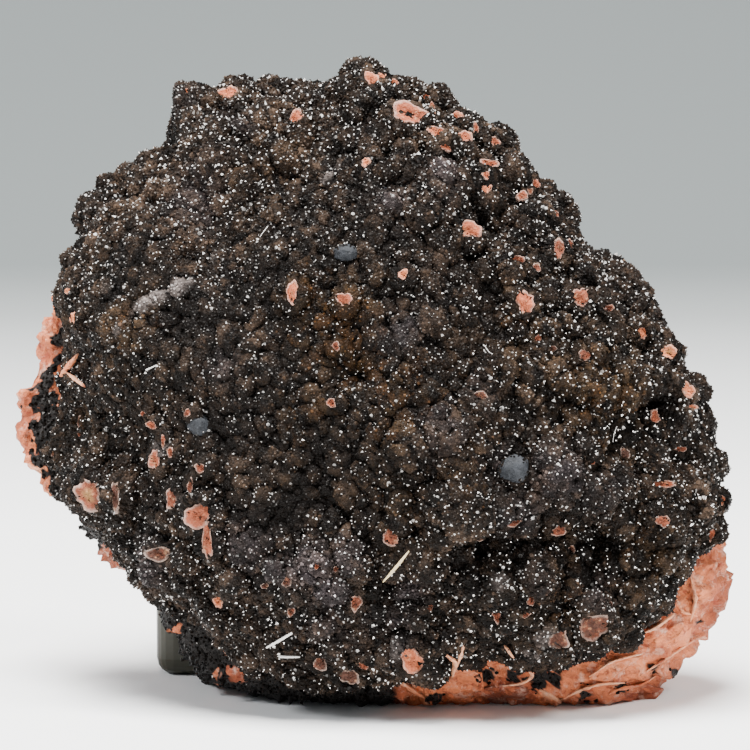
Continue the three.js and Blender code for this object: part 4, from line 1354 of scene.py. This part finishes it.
# Plates of barite at the lower edge: corners by pixel, how far they stand out, thickness, paleness.
SLABS = [
    ([(402, 641), (414, 644), (424, 662), (405, 676), (399, 660)], 0.7, 1.8, 0.95),
    ([(463, 641), (478, 655), (468, 673), (456, 680), (459, 657)], 0.6, 1.6, 0.55),
    ([(514, 662), (535, 659), (556, 661), (548, 668), (530, 671)], 0.6, 1.6, 0.85),
    ([(589, 680), (600, 665), (622, 657), (642, 657), (626, 668), (606, 683)], 0.7, 1.8, 0.7),
    ([(426, 671), (452, 666), (482, 673), (484, 690), (458, 693), (424, 694)], 0.6, 1.8, 0.55),
    ([(484, 688), (510, 684), (530, 690), (522, 703), (498, 709), (487, 699)], 0.5, 2.0, 0.15),
    ([(654, 640), (676, 624), (694, 618), (688, 646), (664, 664)], 0.6, 1.8, 0.62),
    ([(560, 690), (590, 686), (612, 688), (606, 702), (580, 706), (562, 702)], 0.4, 1.8, 0.35),
    ([(622, 690), (646, 684), (664, 690), (652, 703), (630, 704)], 0.5, 1.8, 0.2),
]

# Blades seen edge on: points by pixel and how far they stand out, half widths, depth as a multiple of
# them, paleness.
RIBBONS = [
    ([(466, 634, 0.5), (461, 655, 0.9), (451, 678, 0.8)], [0.12, 0.26, 0.1], 3.0, 1.0),
    ([(445, 654, 0.6), (455, 661, 0.9), (452, 678, 0.8)], [0.2, 0.32, 0.12], 2.5, 0.9),
    ([(508, 650, 1.2), (516, 663, 1.6), (530, 670, 1.7), (534, 676, 1.7), (523, 684, 1.5), (503, 686, 1.2)],
     [0.24, 0.16, 0.2, 0.22, 0.16, 0.08], 3.0, 0.95),
    ([(563, 699, 0.5), (580, 690, 0.7), (600, 684, 0.8), (624, 683, 0.6)],
     [0.16, 0.24, 0.2, 0.08], 3.0, 0.95),
    ([(641, 634, 0.5), (655, 628, 0.8), (673, 615, 0.7)], [0.1, 0.3, 0.16], 2.5, 0.92),
    ([(376, 677, 0.5), (398, 680, 0.7), (411, 689, 0.7), (424, 698, 0.6)],
     [0.14, 0.26, 0.28, 0.1], 2.5, 0.75),
    ([(589, 677, 0.9), (612, 661, 1.0), (642, 654, 0.9)], [0.1, 0.16, 0.08], 2.5, 0.98),
    ([(646, 672, 0.6), (670, 656, 0.7), (694, 640, 0.6)], [0.12, 0.2, 0.08], 2.5, 0.9),
    ([(600, 700, 0.6), (614, 690, 0.7), (642, 685, 0.7), (656, 676, 0.5)], [0.12, 0.22, 0.2, 0.08], 2.5, 0.5),
    ([(540, 690, 0.4), (552, 696, 0.5), (560, 702, 0.4)], [0.2, 0.34, 0.14], 2.0, 0.98),
    ([(76, 356, 0.9), (70, 365, 1.0), (63, 374, 0.9)], [0.2, 0.34, 0.24], 2.0, 0.7),
    ([(65, 371, 1.0), (75, 379, 1.3), (84, 386, 1.2)], [0.1, 0.24, 0.12], 1.6, 0.98),
    ([(54, 492, 0.5), (64, 495, 0.7), (76, 500, 0.6)], [0.14, 0.26, 0.16], 2.0, 0.8),
    ([(690, 575, 0.4), (696, 600, 0.7), (690, 622, 0.5)], [0.14, 0.3, 0.14], 2.5, 0.85),
    ([(676, 598, 0.5), (682, 612, 0.6), (696, 616, 0.5)], [0.14, 0.24, 0.12], 2.5, 0.8),
]


# How far the blades are narrowed and deepened, and how uneven their edges are.
BLADE_WIDTH, BLADE_DEPTH, BLADE_UNEVEN = 0.8, 1.2, 0.8


# Settings, operators and the panel


class SpecimenSettings(bpy.types.PropertyGroup):
    crust_rings: bpy.props.IntProperty(
        name="Crust Rings", description="Rings of the finished crust's mesh", default=150, min=20, max=200)
    matrix_points: bpy.props.IntProperty(
        name="Barite Points", description="Points round the barite's ledge", default=640, min=60, max=900)
    crystal_width: bpy.props.FloatProperty(
        name="Crystal Width", description="Half width of a druse crystal", default=0.000148,
        unit="LENGTH", precision=6)
    crystal_length: bpy.props.FloatProperty(
        name="Crystal Length", description="Height of a druse crystal", default=0.00014,
        unit="LENGTH", precision=6)
    crystal_spacing: bpy.props.FloatProperty(
        name="Crystal Spacing", description="Least distance between crystals", default=0.000285,
        unit="LENGTH", precision=6)
    crystal_lean: bpy.props.FloatProperty(
        name="Crystal Lean", description="How far a crystal leans", default=math.radians(26), subtype="ANGLE")
    # The share of facets that get painted glints.
    glint_share: bpy.props.FloatProperty(
        name="Glint Share", description="Share of facets that flash", default=0.13,
        min=0, max=1, subtype="FACTOR")
    druse_colour: bpy.props.FloatVectorProperty(
        name="Druse Colour", description="Colour of the dark quartz", default=(0.0222, 0.0142, 0.0096),
        subtype="COLOR", size=3, min=0, max=1)
    block_colour: bpy.props.FloatVectorProperty(
        name="Block Colour", description="Colour of the supporting block", default=(0.018, 0.0175, 0.011),
        subtype="COLOR", size=3, min=0, max=1)
    seed: bpy.props.IntProperty(name="Seed", description="Seed of all that is random", default=7, min=0)


class BuildCrust(bpy.types.Operator):
    """Builds the knobbed crust and the druse of crystals on it"""

    bl_idname = "specimen.build_crust"
    bl_label = "Build Crust"

    def execute(self, context):
        settings = context.scene.specimen
        points, faces, values = shape_crust(settings)
        crust = new_object("druse_bed", points, faces)
        for name, row in values.items():
            give_values(crust, name, row)
        give_values(crust, "zone", face_zones(points, faces), "FACE")
        material = crystal_material(settings)
        for n, zone in enumerate(ZONES):
            grow_druse(crust, "druse_crystals_" + zone, material, settings, zone=n, salt=n)
        settle(crust, crust_material(settings))
        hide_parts("quartz_crust")
        return {"FINISHED"}


class BuildTips(bpy.types.Operator):
    """Builds the salmon tips that are broken off flat"""

    bl_idname = "specimen.build_tips"
    bl_label = "Build Broken Tips"

    def execute(self, context):
        points, faces, values = tip_arrays()
        tips = new_object("broken_tips", points, faces)
        for name, row in values.items():
            give_values(tips, name, row)
        settle(tips, tip_material())
        return {"FINISHED"}


class BuildBarite(bpy.types.Operator):
    """Builds the salmon barite under and behind the crust, with the plates and blades at its edge"""

    bl_idname = "specimen.build_barite"
    bl_label = "Build Barite"

    def execute(self, context):
        settings = context.scene.specimen
        points, faces, values = shape_matrix(settings)
        barite = new_object("barite_rock", points, faces)
        for name, row in values.items():
            give_values(barite, name, row)
        material = barite_material()
        give_values(barite, "zone", np.zeros(len(faces)), "FACE")
        grow_druse(barite, "druse_crystals_barite", crystal_material(settings), settings,
                   spacing=1.45, width=1.3, glints=0.1, salt=len(ZONES))
        settle(barite, material)
        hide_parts("barite_matrix")
        grid = face_grid()
        slabs = [slab_arrays(grid, *rest) for *rest, _ in SLABS]
        ribbons = []
        for spine, across, deep, _ in RIBBONS:
            seated = [seen_point(grid, *spot) for spot in spine]
            widths = np.array(across) * BLADE_WIDTH
            ribbons.append(sweep_arrays(seated, widths, deep * BLADE_DEPTH, BLADE_UNEVEN))
        for name, parts, rows in (("barite_plates", slabs, SLABS), ("barite_blades", ribbons, RIBBONS)):
            points, faces, counts = joined(parts)
            made = new_object(name, points, faces)
            give_values(made, "pale", np.repeat([row[-1] for row in rows], counts))
            settle(made, material)
        return {"FINISHED"}


class BuildNodules(bpy.types.Operator):
    """Builds the smooth grey nodules in the druse"""

    bl_idname = "specimen.build_nodules"
    bl_label = "Build Grey Nodules"

    def execute(self, context):
        material = nodule_material()
        parts, edges = [], []
        for node in NODULES:
            low, high = (np.array(corner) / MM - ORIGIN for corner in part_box(node))
            points, faces, edge = self.ball_arrays((low + high) / 2, (high - low) / 2)
            parts.append((points, faces))
            edges.append(edge)
            ball = new_object(node + "_ball", points, faces)
            settle(ball, material)
            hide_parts(node)
        self.ring_with_druse(joined(parts), np.concatenate(edges), context.scene.specimen)
        return {"FINISHED"}

    def ball_arrays(self, centre, half):
        """An uneven ball, and how near each point is to where it sinks into the druse."""
        skin = Skin()
        rows, ids, edge = 28, [], []
        for polar in np.linspace(0, math.pi, rows + 1)[1:-1]:
            turn = angles(48)
            flat = np.full(48, math.sin(polar))
            ring = np.stack([np.cos(turn) * flat, np.full(48, -math.cos(polar)), np.sin(turn) * flat], -1)
            rolling = rough(ring, 0.9, 4, half[0] * 5)
            ids.append(skin.ring(centre + ring * half * (1 + 0.16 * rolling)[:, None]))
            edge += list(smooth_step(polar + rolling * 0.5, 0.9, 1.15))
        skin.cap(ids[0], centre - half * np.array([0, 1, 0]), True)
        for inner, outer in zip(ids, ids[1:]):
            skin.zip(inner, outer)
        skin.cap(ids[-1], centre + half * np.array([0, 1, 0]), False)
        return (*skin.arrays(), np.array(edge + [0.0, 1.0]))

    def ring_with_druse(self, balls, edge, settings):
        """Crystals that climb round the nodules' edges."""
        points, faces, _ = balls
        host = new_object("nodule_edges", points, faces)
        give_values(host, "zone", np.zeros(len(faces)), "FACE")
        for name, row in (("druse", edge), ("grain", edge * 0 + 1), ("spark", edge * 0 + 1)):
            give_values(host, name, row)
        grow_druse(host, "druse_crystals_nodules", crystal_material(settings), settings,
                   glints=0.5, salt=len(ZONES) + 1)
        bpy.data.objects.remove(host)


class BuildStrands(bpy.types.Operator):
    """Builds the straw splinter, the slivers and the hairs caught on the druse"""

    bl_idname = "specimen.build_strands"
    bl_label = "Build Splinters and Hairs"

    def execute(self, context):
        straw = straw_material("straw", (0.5, 0.36, 0.16), (0.8, 0.66, 0.4))
        hair = straw_material("hair", (0.5, 0.48, 0.45), (0.75, 0.73, 0.7))
        for name, (spine, radii) in STRANDS.items():
            strand = new_object(name, *strand_arrays(spine, radii))
            settle(strand, straw if name == "straw_splinter" else hair)
        return {"FINISHED"}


class FinishBlock(bpy.types.Operator):
    """Gives the supporting block its satin grey finish"""

    bl_idname = "specimen.finish_block"
    bl_label = "Finish Block"

    def execute(self, context):
        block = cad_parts["support_block"]
        material = block_material(context.scene.specimen)
        block.data.materials.clear()
        block.data.materials.append(material)
        return {"FINISHED"}


# Studio: name, place in metres, side, brightness, warmth.
LAMPS = [
    ("overhead", (-0.08, -0.14, 0.72), 0.36, 57.0, (1.0, 0.99, 0.97)),
    ("left_kicker", (-0.55, -0.2, 0.42), 0.16, 36.0, (0.96, 0.98, 1.0)),
    ("right_key", (0.42, -0.26, 0.52), 0.14, 58.0, (1.0, 0.98, 0.95)),
    ("front", (0.05, -0.8, 0.4), 0.16, 6.0, (1.0, 1.0, 1.0)),
]


class SetStage(bpy.types.Operator):
    """Sets the pale sheet, the lamps, the sky and the camera"""

    bl_idname = "specimen.set_stage"
    bl_label = "Set Stage"

    def execute(self, context):
        self.make_sheet()
        for name, place, size, brightness, colour in LAMPS:
            lamp = bpy.data.lights.new(name, "AREA")
            lamp.shape = "SQUARE"
            lamp.size = size
            lamp.energy = brightness * math.pi * size * size
            lamp.color = colour
            holder = bpy.data.objects.new(name, lamp)
            aim = Vector((0, 0, 0.03)) - Vector(place)
            turned = aim.to_track_quat("-Z", "Y").to_matrix().to_4x4()
            holder.matrix_world = Matrix.Translation(place) @ turned
            context.scene.collection.objects.link(holder)
        world = bpy.data.worlds.new("studio_air")
        world.use_nodes = True
        air = next(n for n in world.node_tree.nodes if n.type == "BACKGROUND")
        air.inputs["Color"].default_value = (0.9, 0.95, 1.0, 1)
        air.inputs["Strength"].default_value = 0.4
        context.scene.world = world
        self.set_camera(context)
        return {"FINISHED"}

    def make_sheet(self):
        """A floor that bends up into a wall."""
        bend, radius = 0.35, 0.45
        profile = [(-1.6, 0.0), (bend, 0.0)]
        for a in np.linspace(0.1, math.pi / 2, 16):
            profile.append((bend + radius * math.sin(a), radius - radius * math.cos(a)))
        profile.append((0.8, 2.2))
        points, faces = [], []
        for y, z in profile:
            points += [(-2.5, y, z), (2.5, y, z)]
        for n in range(len(profile) - 1):
            faces.append((2 * n, 2 * n + 1, 2 * n + 3, 2 * n + 2))
        mesh = bpy.data.meshes.new("studio_sheet")
        mesh.from_pydata(points, [], faces)
        mesh.polygons.foreach_set("use_smooth", [True] * len(faces))
        mesh.materials.append(stage_material())
        sheet = bpy.data.objects.new("studio_sheet", mesh)
        bpy.context.scene.collection.objects.link(sheet)

    def set_camera(self, context):
        lens = bpy.data.cameras.new("view")
        lens.sensor_width = 36
        lens.lens = lens.sensor_width * VIEW_DISTANCE / VIEW_WIDTH
        lens.clip_start = 0.01
        camera = bpy.data.objects.new("view", lens)
        target = Vector((ORIGIN + np.array([0, 0, VIEW_HEIGHT])) * MM)
        back = Vector((0, -math.cos(VIEW_ELEVATION), math.sin(VIEW_ELEVATION)))
        place = target + back * VIEW_DISTANCE * MM
        turned = (-back).to_track_quat("-Z", "Y").to_matrix().to_4x4()
        camera.matrix_world = Matrix.Translation(place) @ turned
        context.scene.collection.objects.link(camera)
        context.scene.camera = camera


class SpecimenPanel(bpy.types.Panel):
    """Lists the specimen's sizes, colours and steps"""

    bl_idname = "VIEW3D_PT_specimen"
    bl_label = "Quartz on Barite"
    bl_space_type = "VIEW_3D"
    bl_region_type = "UI"
    bl_category = "Specimen"

    def draw(self, context):
        settings = context.scene.specimen
        for name in SpecimenSettings.__annotations__:
            self.layout.prop(settings, name)
        for step in STEPS:
            self.layout.operator(step.bl_idname)


STEPS = (BuildCrust, BuildTips, BuildBarite, BuildNodules, BuildStrands, FinishBlock, SetStage)
CLASSES = (SpecimenSettings, *STEPS, SpecimenPanel)


def register():
    for item in CLASSES:
        bpy.utils.register_class(item)
    bpy.types.Scene.specimen = bpy.props.PointerProperty(type=SpecimenSettings)


def unregister():
    del bpy.types.Scene.specimen
    for item in reversed(CLASSES):
        bpy.utils.unregister_class(item)


def main():
    """Builds every piece in order."""
    register()
    for step in STEPS:
        group, name = step.bl_idname.split(".")
        getattr(getattr(bpy.ops, group), name)()


if __name__ == "__main__":
    main()
